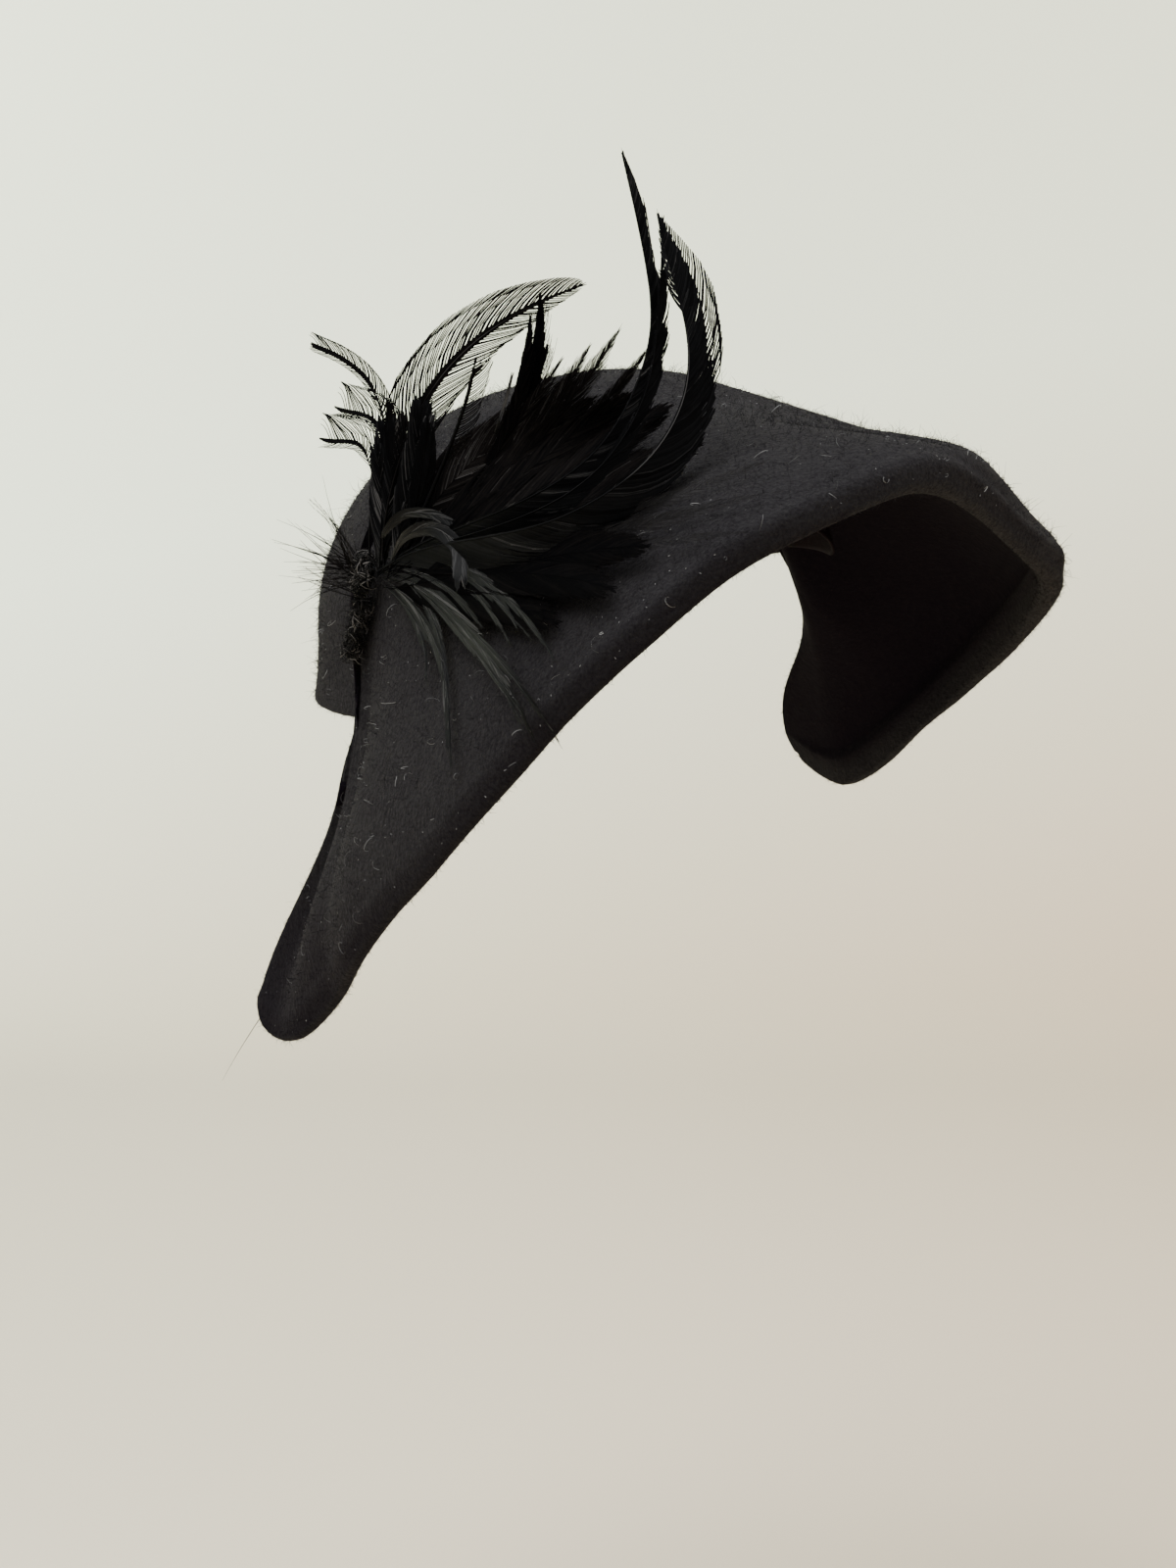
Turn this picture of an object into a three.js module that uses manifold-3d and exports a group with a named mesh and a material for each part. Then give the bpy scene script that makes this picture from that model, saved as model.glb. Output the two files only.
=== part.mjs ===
// A tilt hat: one moulded felt hood with a turned-under hem, a ribbed head band inside it,
// and a spray of cock feathers sewn to the right of the crown by a bound quill stub.
// Millimetres, +Z up, the wearer faces -Y. The origin is the middle of the head opening,
// and the whole hat is rolled down to the wearer's right, as it is worn.

import * as THREE from 'three';
import { mergeVertices } from 'three/addons/utils/BufferGeometryUtils.js';
import Module from 'manifold-3d';

const wasm = await Module();
wasm.setup();

// Driving dimensions
const ROLL = THREE.MathUtils.degToRad(17.7);
const GAP = 0.3;
const CROWN = { halfWidth: 74, halfLength: 89, height: 72.6, flare: 4, flareUp: 18 };

// How square the crown's profile is, 2 being an ellipse: the mean, and what the wearer's
// front left adds and the back right loses
const FULLNESS = { mean: 2.35, swing: 0.35, az: THREE.MathUtils.degToRad(58) };
const FELT = { wall: 2.2, hemWidth: 10, hemStep: 1.5, fold: 1.4 };
const BAND = { low: 3, tall: 20, thick: 0.9, standOff: 0.65, rise: 21, riseAz: 8, riseHalf: 52 };

// The hem thins away over this many sections at each end.
const HEM_TAPER = 2;

// Where the felt is divided across the hem, as shares of its width
const HEM_STATIONS = [FELT.hemStep / FELT.hemWidth, 0.45, 0.75, 1];

// Where the band stands upright: past this cosine off the front it starts, past that it is full.
const BAND_UPRIGHT = { from: 0.3, full: 0.75 };

// Steps for measuring a slope: millimetres up the crown, radians round it, mm on the board
const PROBE = { up: 0.5, round: 0.01, board: 1 };

// How finely the felt is divided
const ROWS_PER_SECTION = 2;
const CROWN_STEPS = 8;
const BRIM_STEPS = 8;
const BACK_COLUMNS = 16;
const ROUND_SEGMENTS = 12;

// The brim, one section a row, from the right notch round the front to the left notch.
// az, leave: where the section leaves the crown, in degrees from the front and mm up.
// edgeAz, out, up: its free edge. dip: slope of the felt there, degrees below level.
// start, end: how far the section keeps each end's direction, as a share of its span.
const SECTIONS = [
  { az: -91, leave: 0, edgeAz: -112.8, out: 124.5, up: -84, dip: 60, start: 0.45, end: 0.40 },
  { az: -90.5, leave: 4, edgeAz: -107.5, out: 121, up: -88, dip: 60, start: 0.45, end: 0.40 },
  { az: -90, leave: 7, edgeAz: -101, out: 117, up: -86, dip: 72, start: 0.45, end: 0.40 },
  { az: -88, leave: 11, edgeAz: -95, out: 113, up: -80, dip: 82, start: 0.45, end: 0.40 },
  { az: -84, leave: 18, edgeAz: -87.5, out: 112, up: -71, dip: 86, start: 0.45, end: 0.35 },
  { az: -78, leave: 28, edgeAz: -78, out: 116, up: -59, dip: 88, start: 0.45, end: 0.30 },
  { az: -68, leave: 40, edgeAz: -67, out: 120, up: -44, dip: 88, start: 0.50, end: 0.25 },
  { az: -57, leave: 50, edgeAz: -57, out: 126, up: -31, dip: 88, start: 0.55, end: 0.20 },
  { az: -45, leave: 59, edgeAz: -43.3, out: 135, up: -10, dip: 88, start: 0.60, end: 0.16 },
  { az: -34, leave: 63, edgeAz: -34, out: 143, up: 6, dip: 88, start: 0.65, end: 0.14 },
  { az: -24, leave: 65, edgeAz: -25, out: 149, up: 19, dip: 88, start: 0.70, end: 0.13 },
  { az: -12, leave: 67, edgeAz: -14, out: 151, up: 31, dip: 88, start: 0.66, end: 0.14 },
  { az: 0, leave: 68, edgeAz: -1, out: 151, up: 35, dip: 88, start: 0.6, end: 0.13 },
  { az: 10, leave: 67, edgeAz: 10, out: 150, up: 34, dip: 88, start: 0.61, end: 0.14 },
  { az: 20, leave: 65, edgeAz: 19, out: 147, up: 20, dip: 88, start: 0.98, end: 0.26 },
  { az: 30, leave: 62.5, edgeAz: 29, out: 145, up: 1, dip: 88, start: 0.7, end: 0.39 },
  { az: 42, leave: 63, edgeAz: 42, out: 141, up: -14, dip: 90, start: 1.04, end: 0.07 },
  { az: 54, leave: 61.5, edgeAz: 57, out: 137.5, up: -27, dip: 92, start: 0.62, end: 0.33 },
  { az: 67, leave: 49, edgeAz: 73, out: 132, up: -44, dip: 92, start: 0.50, end: 0.32 },
  { az: 77, leave: 36, edgeAz: 83, out: 122, up: -59, dip: 92, start: 0.45, end: 0.35 },
  { az: 84, leave: 23, edgeAz: 90, out: 113, up: -69, dip: 92, start: 0.45, end: 0.38 },
  { az: 88, leave: 12, edgeAz: 98, out: 110, up: -79, dip: 88, start: 0.45, end: 0.40 },
  { az: 90, leave: 7, edgeAz: 107, out: 110, up: -86, dip: 84, start: 0.45, end: 0.40 },
  { az: 90.5, leave: 4, edgeAz: 113, out: 113, up: -85, dip: 80, start: 0.45, end: 0.40 },
  { az: 91, leave: 0, edgeAz: 119, out: 117, up: -78, dip: 72, start: 0.45, end: 0.40 },
];

// Folds and dents pressed into the felt. at, spread: place and width in rows of the table
// above. from, to: where the fold runs along the section, 0 at the crown and 1 at the edge
// (below 0 it runs up the crown). out, lift: how far it pushes the felt outward and up.
const FOLDS = [
  { name: 'pleat over the right notch', at: 2.2, spread: 1.6, from: -0.7, to: 0.35, out: 3.0, lift: 0 },
  { name: 'crease down the right flap', at: 2.4, spread: 1.1, from: 0.35, to: 1.1, out: 2.6, lift: 0 },
  { name: 'hollow behind that crease', at: 1.0, spread: 0.7, from: 0.45, to: 0.95, out: -1.0, lift: 0 },
  { name: 'dent in the lip', at: 16.4, spread: 0.9, from: 0.5, to: 0.95, out: -1.5, lift: -4.5 },
  { name: 'swell of the left lip', at: 16.2, spread: 1.2, from: 0.75, to: 1.2, out: 1.5, lift: 0.5 },
  { name: 'pleat over the left notch', at: 21.8, spread: 1.6, from: -0.7, to: 0.35, out: 2.5, lift: 0 },
];

// The feathers are laid out on a flat board through the origin that faces this way, in mm
// to the right of the origin and above it, and the eye that looks at it is this far off.
const BOARD = {
  az: THREE.MathUtils.degToRad(-32),
  el: THREE.MathUtils.degToRad(4),
  eye: 900,
  eyeX: 2.3,
  eyeY: -46.4,
};

// The feathers. x, y: where one springs. long, wide: its size. h0 to h3: its heading in
// degrees at the root, the thirds and the tip, 0 to the right and 90 up. lean: how far its
// tip stands in front of its root.
const FEATHERS = [
  { name: 'sickle left', x: -57, y: 13, long: 171, wide: 9, h0: 26, h1: 31, h2: 88, h3: 108, lean: 30 },
  { name: 'sickle right', x: -57, y: 12, long: 170, wide: 9, h0: 44, h1: 11, h2: 74, h3: 129, lean: 36 },
  { name: 'sickle inner', x: -57, y: 12, long: 146, wide: 8, h0: 34, h1: 18, h2: 60, h3: 119, lean: 34 },
  { name: 'column left', x: -60, y: 12, long: 55, wide: 13, h0: 82, h1: 78, h2: 70, h3: 62, lean: 4 },
  { name: 'column right', x: -57, y: 12, long: 56, wide: 13, h0: 74, h1: 70, h2: 62, h3: 56, lean: 8 },
  { name: 'arched hackle', x: -55, y: 16, long: 112, wide: 9, h0: 95, h1: 79, h2: 42, h3: 2, lean: 14 },
  { name: 'curl high', x: -58, y: 20, long: 78, wide: 4, h0: 70, h1: 95, h2: 110, h3: 178, lean: 4 },
  { name: 'curl middle', x: -58, y: 22, long: 54, wide: 4, h0: 83, h1: 86, h2: 112, h3: 180, lean: 2 },
  { name: 'curl low', x: -58, y: 22, long: 43, wide: 4, h0: 87, h1: 96, h2: 113, h3: 222, lean: 0 },
  { name: 'thin spine', x: -52, y: 20, long: 66, wide: 3, h0: 68, h1: 76, h2: 84, h3: 70, lean: 16 },
  { name: 'point high', x: -52, y: 18, long: 90, wide: 8, h0: 42, h1: 54, h2: 74, h3: 92, lean: 22 },
  { name: 'point middle', x: -52, y: 18, long: 78, wide: 8, h0: 46, h1: 56, h2: 72, h3: 85, lean: 24 },
  { name: 'point low', x: -52, y: 17, long: 76, wide: 8, h0: 42, h1: 50, h2: 62, h3: 74, lean: 26 },
  { name: 'fan first', x: -52, y: 17, long: 86, wide: 15, h0: 38, h1: 46, h2: 54, h3: 42, lean: 34 },
  { name: 'fan second', x: -52, y: 16, long: 96, wide: 16, h0: 34, h1: 42, h2: 48, h3: 36, lean: 40 },
  { name: 'fan third', x: -52, y: 15, long: 98, wide: 16, h0: 26, h1: 33, h2: 38, h3: 24, lean: 46 },
  { name: 'fan fourth', x: -52, y: 14, long: 84, wide: 15, h0: 18, h1: 24, h2: 28, h3: 22, lean: 44 },
  { name: 'lobe far', x: -52, y: 13, long: 76, wide: 14, h0: 12, h1: 12, h2: 8, h3: -4, lean: 50 },
  { name: 'lobe middle', x: -52, y: 12, long: 62, wide: 15, h0: 4, h1: 2, h2: -8, h3: -20, lean: 48 },
  { name: 'lobe near', x: -53, y: 11, long: 60, wide: 14, h0: -2, h1: -8, h2: -20, h3: -36, lean: 46 },
  { name: 'turned tip', x: -54, y: 17, long: 40, wide: 9, h0: 52, h1: 10, h2: -40, h3: -95, lean: 34 },
  { name: 'drop longest', x: -56, y: 12, long: 66, wide: 5, h0: -20, h1: -32, h2: -50, h3: -58, lean: 54 },
  { name: 'drop second', x: -56, y: 12, long: 55, wide: 5, h0: -24, h1: -38, h2: -50, h3: -58, lean: 42 },
  { name: 'drop third', x: -57, y: 12, long: 47, wide: 4, h0: -30, h1: -42, h2: -50, h3: -56, lean: 36 },
  { name: 'drop fourth', x: -57, y: 11, long: 32, wide: 4, h0: -34, h1: -44, h2: -52, h3: -58, lean: 26 },
  { name: 'drop steep', x: -58, y: 11, long: 58, wide: 4, h0: -42, h1: -62, h2: -84, h3: -98, lean: 26 },
  { name: 'wisp over the brim', x: -52, y: 15, long: 112, wide: 4, h0: 6, h1: 12, h2: 18, h3: 24, lean: 44 },
  { name: 'spike up', x: -62, y: 16, long: 24, wide: 3, h0: 120, h1: 126, h2: 132, h3: 140, lean: 0 },
  { name: 'spike level', x: -63, y: 10, long: 20, wide: 3, h0: 160, h1: 158, h2: 150, h3: 146, lean: 0 },
];

// A feather's thickness, the length of its steps and its clearance over the felt
const FEATHER = { thick: 1.2, step: 9, steps: 4, clear: 0.6, margin: 0.9, cast: 400, relax: 40 };

// Its outline: how full it is at the root, how soon it widens, how blunt, and its least half
const VANE = { root: 0.12, widen: 0.8, blunt: 0.7, least: 0.5, thinning: 0.5 };

// The quills are packed at the knot in layers, and side by side like seeds in a flower head.
const PACKING = { layers: 7, layer: 0.37, apart: 0.5, turn: Math.PI * (3 - Math.sqrt(5)) };

// The knot where the feathers are tied, and the bound quill ends below it
const HEAD = { x: -57.5, y: 13.5, long: 9, wide: 8, deep: 4.5, standOff: 0.5 };
const STUB = { topX: -61.5, topY: 6.4, heading: -106, long: 17, radius: 3.6, standOff: 0.6, side: 1.2 };

// The stub's outline, as shares of its length and of its radius
const STUB_OUTLINE = [
  { along: 0, wide: 0 },
  { along: 0, wide: 0.7 },
  { along: 0.12, wide: 1 },
  { along: 0.45, wide: 0.85 },
  { along: 0.6, wide: 1 },
  { along: 1, wide: 0.6 },
  { along: 1, wide: 0 },
];

// Faces finer than this, left where feathers cross, are merged away.
const JOIN_TOLERANCE = 0.01;

const FINISH = {
  felt: { color: 0x2b282b, roughness: 0.95 },
  band: { color: 0x1c1716, roughness: 0.8 },
  feather: { color: 0x161519, roughness: 0.45 },
  quill: { color: 0x3a3638, roughness: 0.9 },
};

// A value of the four-point Catmull-Rom curve between b and c.
function catmullRom(a, b, c, d, t) {
  const bend = 2 * a - 5 * b + 4 * c - d;
  const twist = 3 * b - 3 * c + d - a;
  return 0.5 * (2 * b + t * (c - a + t * (bend + t * twist)));
}

// A row between the rows of a table, every column taken along a smooth curve.
function rowAt(table, place) {
  const last = table.length - 1;
  const i = Math.min(Math.floor(place), last - 1);
  const row = {};
  for (const key of Object.keys(table[0])) {
    const pick = (j) => table[j][key];
    const before = i > 0 ? pick(i - 1) : 2 * pick(0) - pick(1);
    const after = i + 2 <= last ? pick(i + 2) : 2 * pick(last) - pick(last - 1);
    row[key] = catmullRom(before, pick(i), pick(i + 1), after, place - i);
  }
  return row;
}

// A point at a distance from the upright axis, in the direction az from the front.
function polar(az, out, up) {
  return new THREE.Vector3(out * Math.sin(az), -out * Math.cos(az), up);
}

// The crown is half an ellipsoid whose rim flares a little.
function crownPoint(az, up) {
  const across = Math.sin(az) / CROWN.halfWidth;
  const along = Math.cos(az) / CROWN.halfLength;
  const rim = 1 / Math.hypot(across, along);
  const share = THREE.MathUtils.clamp(up / CROWN.height, 0, 1);
  const fullness = FULLNESS.mean + FULLNESS.swing * Math.cos(az - FULLNESS.az);
  const level = (1 - share ** fullness) ** (1 / fullness);
  const flare = CROWN.flare * Math.max(0, 1 - up / CROWN.flareUp) ** 2;
  return polar(az, rim * level + flare, up);
}

// The direction straight down the crown at a place.
function crownDown(az, up) {
  return crownPoint(az, up - PROBE.up).sub(crownPoint(az, up + PROBE.up)).normalize();
}

// The crown's outward direction at a place.
function crownOut(az, up) {
  const round = crownPoint(az + PROBE.round, up).sub(crownPoint(az - PROBE.round, up));
  return round.cross(crownDown(az, up)).normalize().negate();
}

// One brim section as a curve from the crown to the free edge.
function sectionCurve(row) {
  const az = THREE.MathUtils.degToRad(row.az);
  const edgeAz = THREE.MathUtils.degToRad(row.edgeAz);
  const dip = THREE.MathUtils.degToRad(row.dip);
  const root = crownPoint(az, row.leave);
  const edge = polar(edgeAz, row.out, row.up);
  const span = root.distanceTo(edge);
  const last = polar(edgeAz, Math.cos(dip), -Math.sin(dip));
  const first = crownDown(az, row.leave);
  return new THREE.CubicBezierCurve3(
    root,
    root.clone().addScaledVector(first, span * row.start),
    edge.clone().addScaledVector(last, -span * row.end),
    edge,
  );
}

// Moves a point of the felt by the folds that reach it.
function pressFolds(point, place, along) {
  const outward = new THREE.Vector3(point.x, point.y, 0).normalize();
  for (const fold of FOLDS) {
    const side = Math.exp(-(((place - fold.at) / fold.spread) ** 2));
    const run = (along - fold.from) / (fold.to - fold.from);
    const swell = run > 0 && run < 1 ? Math.sin(Math.PI * run) ** 2 : 0;
    point.addScaledVector(outward, fold.out * side * swell);
    point.z += fold.lift * side * swell;
  }
  return point;
}

// The felt's outer face: a pole, columns down the crown, and sections across the brim.
// Each vertex keeps its wall thickness. The boundary runs once round the free edge.
function feltSheet() {
  const points = [new THREE.Vector3(0, 0, CROWN.height)];
  const walls = [FELT.wall];
  const columns = [];
  const rowCount = (SECTIONS.length - 1) * ROWS_PER_SECTION + 1;
  const add = (point, wall) => {
    points.push(point);
    walls.push(wall);
    return points.length - 1;
  };
  const crownColumn = (az, low, place) => {
    const column = [0];
    const steepest = Math.acos(low / CROWN.height);
    for (let i = 1; i <= CROWN_STEPS; i += 1) {
      const share = i / CROWN_STEPS;
      const point = crownPoint(az, CROWN.height * Math.cos(steepest * share));
      column.push(add(place === null ? point : pressFolds(point, place, share - 1), FELT.wall));
    }
    return column;
  };
  for (let i = 0; i < rowCount; i += 1) {
    const place = i / ROWS_PER_SECTION;
    const row = rowAt(SECTIONS, place);
    const column = crownColumn(THREE.MathUtils.degToRad(row.az), Math.max(0, row.leave), place);
    const curve = sectionCurve(row);
    const length = curve.getLength();
    const hem = FELT.hemWidth / length;
    const end = 1 - FELT.fold / length;
    const stations = [];
    for (let j = 1; j <= BRIM_STEPS; j += 1) {
      stations.push({ along: ((1 - hem) * j) / BRIM_STEPS, wall: FELT.wall });
    }
    const turned = Math.min(1, place / HEM_TAPER, (SECTIONS.length - 1 - place) / HEM_TAPER);
    for (const into of HEM_STATIONS) {
      stations.push({ along: 1 - hem * (1 - into), wall: FELT.wall * (1 + turned) });
    }
    for (const { along, wall } of stations) {
      column.push(add(pressFolds(curve.getPointAt(along * end), place, along), wall));
    }
    columns.push(column);
  }
  const sweep = 360 + SECTIONS[0].az - SECTIONS.at(-1).az;
  for (let i = 1; i < BACK_COLUMNS; i += 1) {
    const az = SECTIONS.at(-1).az + (sweep * i) / BACK_COLUMNS;
    columns.push(crownColumn(THREE.MathUtils.degToRad(az), 0, null));
  }
  const faces = [];
  columns.forEach((left, c) => {
    const right = columns[(c + 1) % columns.length];
    const reach = Math.min(left.length, right.length);
    const onBrim = c + 1 < rowCount;
    for (let i = 0; i < (onBrim ? reach : CROWN_STEPS + 1) - 1; i += 1) {
      if (i > 0) faces.push(left[i], left[i + 1], right[i]);
      faces.push(right[i], left[i + 1], right[i + 1]);
    }
  });
  const brim = columns.slice(0, rowCount);
  const boundary = [
    ...brim.map((column) => column.at(-1)),
    ...brim.at(-1).slice(CROWN_STEPS, -1).reverse(),
    ...columns.slice(rowCount).map((column) => column.at(-1)),
    ...brim[0].slice(CROWN_STEPS, -1),
  ];
  return { points, walls, faces, boundary, hemCount: rowCount };
}

// A closed solid from positions and triangle corners.
function geometryOf(points, faces) {
  const geometry = new THREE.BufferGeometry();
  geometry.setAttribute('position', new THREE.Float32BufferAttribute(points.flatMap((p) => p.toArray()), 3));
  geometry.setIndex(faces);
  return geometry;
}

// Gives the felt's outer face its wall, with a rounded fold along the hem.
function feltSolid(sheet) {
  const skin = geometryOf(sheet.points, sheet.faces);
  skin.computeVertexNormals();
  const normals = skin.getAttribute('normal');
  const count = sheet.points.length;
  const inside = sheet.points.map((point, i) => {
    const normal = new THREE.Vector3().fromBufferAttribute(normals, i);
    return point.clone().addScaledVector(normal, -sheet.walls[i]);
  });
  const points = [...sheet.points, ...inside];
  const faces = [...sheet.faces];
  for (let i = 0; i < sheet.faces.length; i += 3) {
    const [a, b, c] = sheet.faces.slice(i, i + 3);
    faces.push(a + count, c + count, b + count);
  }
  const loop = sheet.boundary;
  const middles = loop.map((outer, k) => {
    const before = sheet.points[loop.at(k - 1)];
    const after = sheet.points[loop[(k + 1) % loop.length]];
    const normal = new THREE.Vector3().fromBufferAttribute(normals, outer);
    const outward = normal.cross(after.clone().sub(before)).normalize().negate();
    const bulge = k < sheet.hemCount ? FELT.fold : FELT.wall / 3;
    const middle = sheet.points[outer].clone().add(inside[outer]).multiplyScalar(0.5);
    points.push(middle.addScaledVector(outward, bulge));
    return points.length - 1;
  });
  loop.forEach((outer, k) => {
    const next = (k + 1) % loop.length;
    const rings = [
      [outer, loop[next]],
      [middles[k], middles[next]],
      [outer + count, loop[next] + count],
    ];
    for (let r = 0; r < 2; r += 1) {
      const [a, b] = rings[r];
      const [c, d] = rings[r + 1];
      faces.push(a, c, b);
      faces.push(b, c, d);
    }
  });
  return geometryOf(points, faces);
}

// The band's lower edge: level round the back and sides, raised over the forehead.
function bandLow(az) {
  const off = THREE.MathUtils.clamp((THREE.MathUtils.radToDeg(az) - BAND.riseAz) / BAND.riseHalf, -1, 1);
  return BAND.low + (BAND.rise * (1 + Math.cos(Math.PI * off))) / 2;
}

// A place on the band: against the crown at the back, and upright where the brim has left it.
function bandPoint(az, up, inward) {
  const point = crownPoint(az, up).addScaledVector(crownOut(az, up), -inward);
  const low = crownPoint(az, BAND.low * 2).addScaledVector(crownOut(az, BAND.low * 2), -inward);
  const upright = THREE.MathUtils.smoothstep(Math.cos(az), BAND_UPRIGHT.from, BAND_UPRIGHT.full);
  const spread = Math.hypot(low.x, low.y) / Math.hypot(point.x, point.y);
  const widen = THREE.MathUtils.lerp(1, spread, upright);
  return new THREE.Vector3(point.x * widen, point.y * widen, point.z);
}

// The head band: a ribbon that runs all round inside the head opening.
function bandSolid() {
  const azimuths = [];
  const front = (SECTIONS.length - 1) * ROWS_PER_SECTION;
  for (let i = 0; i < front; i += ROWS_PER_SECTION) {
    azimuths.push(rowAt(SECTIONS, i / ROWS_PER_SECTION).az);
  }
  const sweep = 360 + SECTIONS[0].az - SECTIONS.at(-1).az;
  for (let i = 0; i < BACK_COLUMNS; i += 1) {
    azimuths.push(SECTIONS.at(-1).az + (sweep * i) / BACK_COLUMNS);
  }
  const outer = FELT.wall + BAND.standOff;
  const levels = [
    { share: 0, inward: outer },
    { share: 0.5, inward: outer },
    { share: 1, inward: outer },
    { share: 1, inward: outer + BAND.thick },
    { share: 0.5, inward: outer + BAND.thick },
    { share: 0, inward: outer + BAND.thick },
  ];
  const points = [];
  for (const degrees of azimuths) {
    const az = THREE.MathUtils.degToRad(degrees > 180 ? degrees - 360 : degrees);
    for (const { share, inward } of levels) {
      points.push(bandPoint(az, bandLow(az) + BAND.tall * share, inward));
    }
  }
  const faces = [];
  const ring = levels.length;
  for (let c = 0; c < azimuths.length; c += 1) {
    const next = (c + 1) % azimuths.length;
    for (let k = 0; k < ring; k += 1) {
      const up = (k + 1) % ring;
      faces.push(c * ring + k, next * ring + k, c * ring + up);
      faces.push(c * ring + up, next * ring + k, next * ring + up);
    }
  }
  return geometryOf(points, faces);
}

// The board's three directions in the hat's own frame.
function boardAxes() {
  const toHat = new THREE.Matrix4().makeRotationY(ROLL);
  const near = new THREE.Vector3(
    Math.sin(BOARD.az) * Math.cos(BOARD.el),
    -Math.cos(BOARD.az) * Math.cos(BOARD.el),
    Math.sin(BOARD.el),
  );
  const right = new THREE.Vector3(Math.cos(BOARD.az), Math.sin(BOARD.az), 0);
  const up = near.clone().cross(right);
  return [right, up, near].map((axis) => axis.applyMatrix4(toHat));
}

const [RIGHT, UP, NEAR] = boardAxes();

// A place on the board, brought forward by its depth, so that it looks the same from the eye.
function onBoard(x, y, depth) {
  const share = depth / BOARD.eye;
  return new THREE.Vector3()
    .addScaledVector(RIGHT, THREE.MathUtils.lerp(x, BOARD.eyeX, share))
    .addScaledVector(UP, THREE.MathUtils.lerp(y, BOARD.eyeY, share))
    .addScaledVector(NEAR, depth);
}

// How far the felt stands in front of the board at a place.
function feltDepth(skin, x, y) {
  const from = onBoard(x, y, FEATHER.cast);
  const direction = onBoard(x, y, 0).sub(from).normalize();
  const hit = new THREE.Raycaster(from, direction).intersectObject(skin)[0];
  return hit ? hit.point.dot(NEAR) : -Infinity;
}

// The highest felt under a patch round one station of a feather.
function highestFelt(skin, { x, y, heading }, reach) {
  let highest = -Infinity;
  for (const along of [-0.5, 0, 0.5]) {
    for (const side of [-1, 0, 1]) {
      const dx = along * FEATHER.step * Math.cos(heading) - side * reach * Math.sin(heading);
      const dy = along * FEATHER.step * Math.sin(heading) + side * reach * Math.cos(heading);
      highest = Math.max(highest, feltDepth(skin, x + dx, y + dy));
    }
  }
  return highest;
}

// The line of one feather on the board: it goes on by its heading, step by step.
function featherLine(row) {
  const steps = Math.max(FEATHER.steps, Math.round(row.long / FEATHER.step));
  const { h0, h1, h2, h3 } = row;
  const headings = [{ h: h0 }, { h: h1 }, { h: h2 }, { h: h3 }];
  const stride = row.long / steps;
  const line = [];
  let { x, y } = row;
  for (let i = 0; i <= steps; i += 1) {
    const share = i / steps;
    const heading = THREE.MathUtils.degToRad(rowAt(headings, 3 * share).h);
    line.push({ x, y, heading, share });
    const ahead = THREE.MathUtils.degToRad(rowAt(headings, Math.min(3, 3 * share + 1.5 / steps)).h);
    x += stride * Math.cos(ahead);
    y += stride * Math.sin(ahead);
  }
  return line;
}

// A feather's half width along its length: narrow quill, full middle, pointed tip.
function halfWidth(row, share) {
  const along = THREE.MathUtils.lerp(VANE.root, 1, share ** VANE.widen);
  return Math.max(VANE.least, (row.wide / 2) * Math.max(0, Math.sin(Math.PI * along)) ** VANE.blunt);
}

// Depths of a line laid over the felt like a taut thread from its root to its tip.
function tautDepths(line, floors, root, tip) {
  let depths = line.map(({ share }, i) => Math.max(floors[i], root + (tip - root) * share));
  for (let pass = 0; pass < FEATHER.relax; pass += 1) {
    depths = depths.map((depth, i) => {
      if (i === 0 || i === depths.length - 1) return depth;
      return Math.max(floors[i], (depths[i - 1] + depths[i + 1]) / 2);
    });
  }
  return depths;
}

// One feather as a closed lens-shaped strip that lies clear of the felt.
function featherSolid(row, layer, skin) {
  const line = featherLine(row);
  const clear = FEATHER.clear + FEATHER.thick / 2;
  const stations = line.map((station) => {
    const half = halfWidth(row, station.share);
    return {
      ...station,
      sideX: -Math.sin(station.heading) * half,
      sideY: Math.cos(station.heading) * half,
      floor: highestFelt(skin, station, half + FEATHER.margin),
    };
  });
  const highest = stations.map((station) => station.floor + clear);
  const root = highest[0] + HEAD.deep / 2 + layer * PACKING.layer;
  const depths = tautDepths(line, highest, root, root + row.lean);
  const points = [];
  const faces = [];
  stations.forEach((station, i) => {
    const { x, y, sideX, sideY } = station;
    const thick = FEATHER.thick * (1 - VANE.thinning * station.share);
    points.push(onBoard(x - sideX, y - sideY, depths[i]));
    points.push(onBoard(x, y, depths[i] - thick / 2));
    points.push(onBoard(x + sideX, y + sideY, depths[i]));
    points.push(onBoard(x, y, depths[i] + thick / 2));
  });
  const ring = 4;
  for (let i = 0; i + 1 < stations.length; i += 1) {
    for (let k = 0; k < ring; k += 1) {
      const a = i * ring + k;
      const b = i * ring + ((k + 1) % ring);
      faces.push(a, b, a + ring);
      faces.push(b, b + ring, a + ring);
    }
  }
  const end = (stations.length - 1) * ring;
  faces.push(0, 2, 1, 0, 3, 2);
  faces.push(end, end + 1, end + 2, end, end + 2, end + 3);
  return geometryOf(points, faces);
}

// A geometry as a solid that can be joined and cut.
function solidOf(geometry) {
  const bare = geometry.clone();
  bare.deleteAttribute('normal');
  bare.deleteAttribute('uv');
  const merged = mergeVertices(bare, 1e-4);
  const mesh = new wasm.Mesh({
    numProp: 3,
    vertProperties: new Float32Array(merged.getAttribute('position').array),
    triVerts: new Uint32Array(merged.getIndex().array),
  });
  return new wasm.Manifold(mesh);
}

// A joined solid back as a geometry.
function geometryFrom(solid) {
  const mesh = solid.getMesh();
  const geometry = new THREE.BufferGeometry();
  geometry.setAttribute('position', new THREE.BufferAttribute(new Float32Array(mesh.vertProperties), 3));
  geometry.setIndex(new THREE.BufferAttribute(new Uint32Array(mesh.triVerts), 1));
  return geometry;
}

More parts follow.
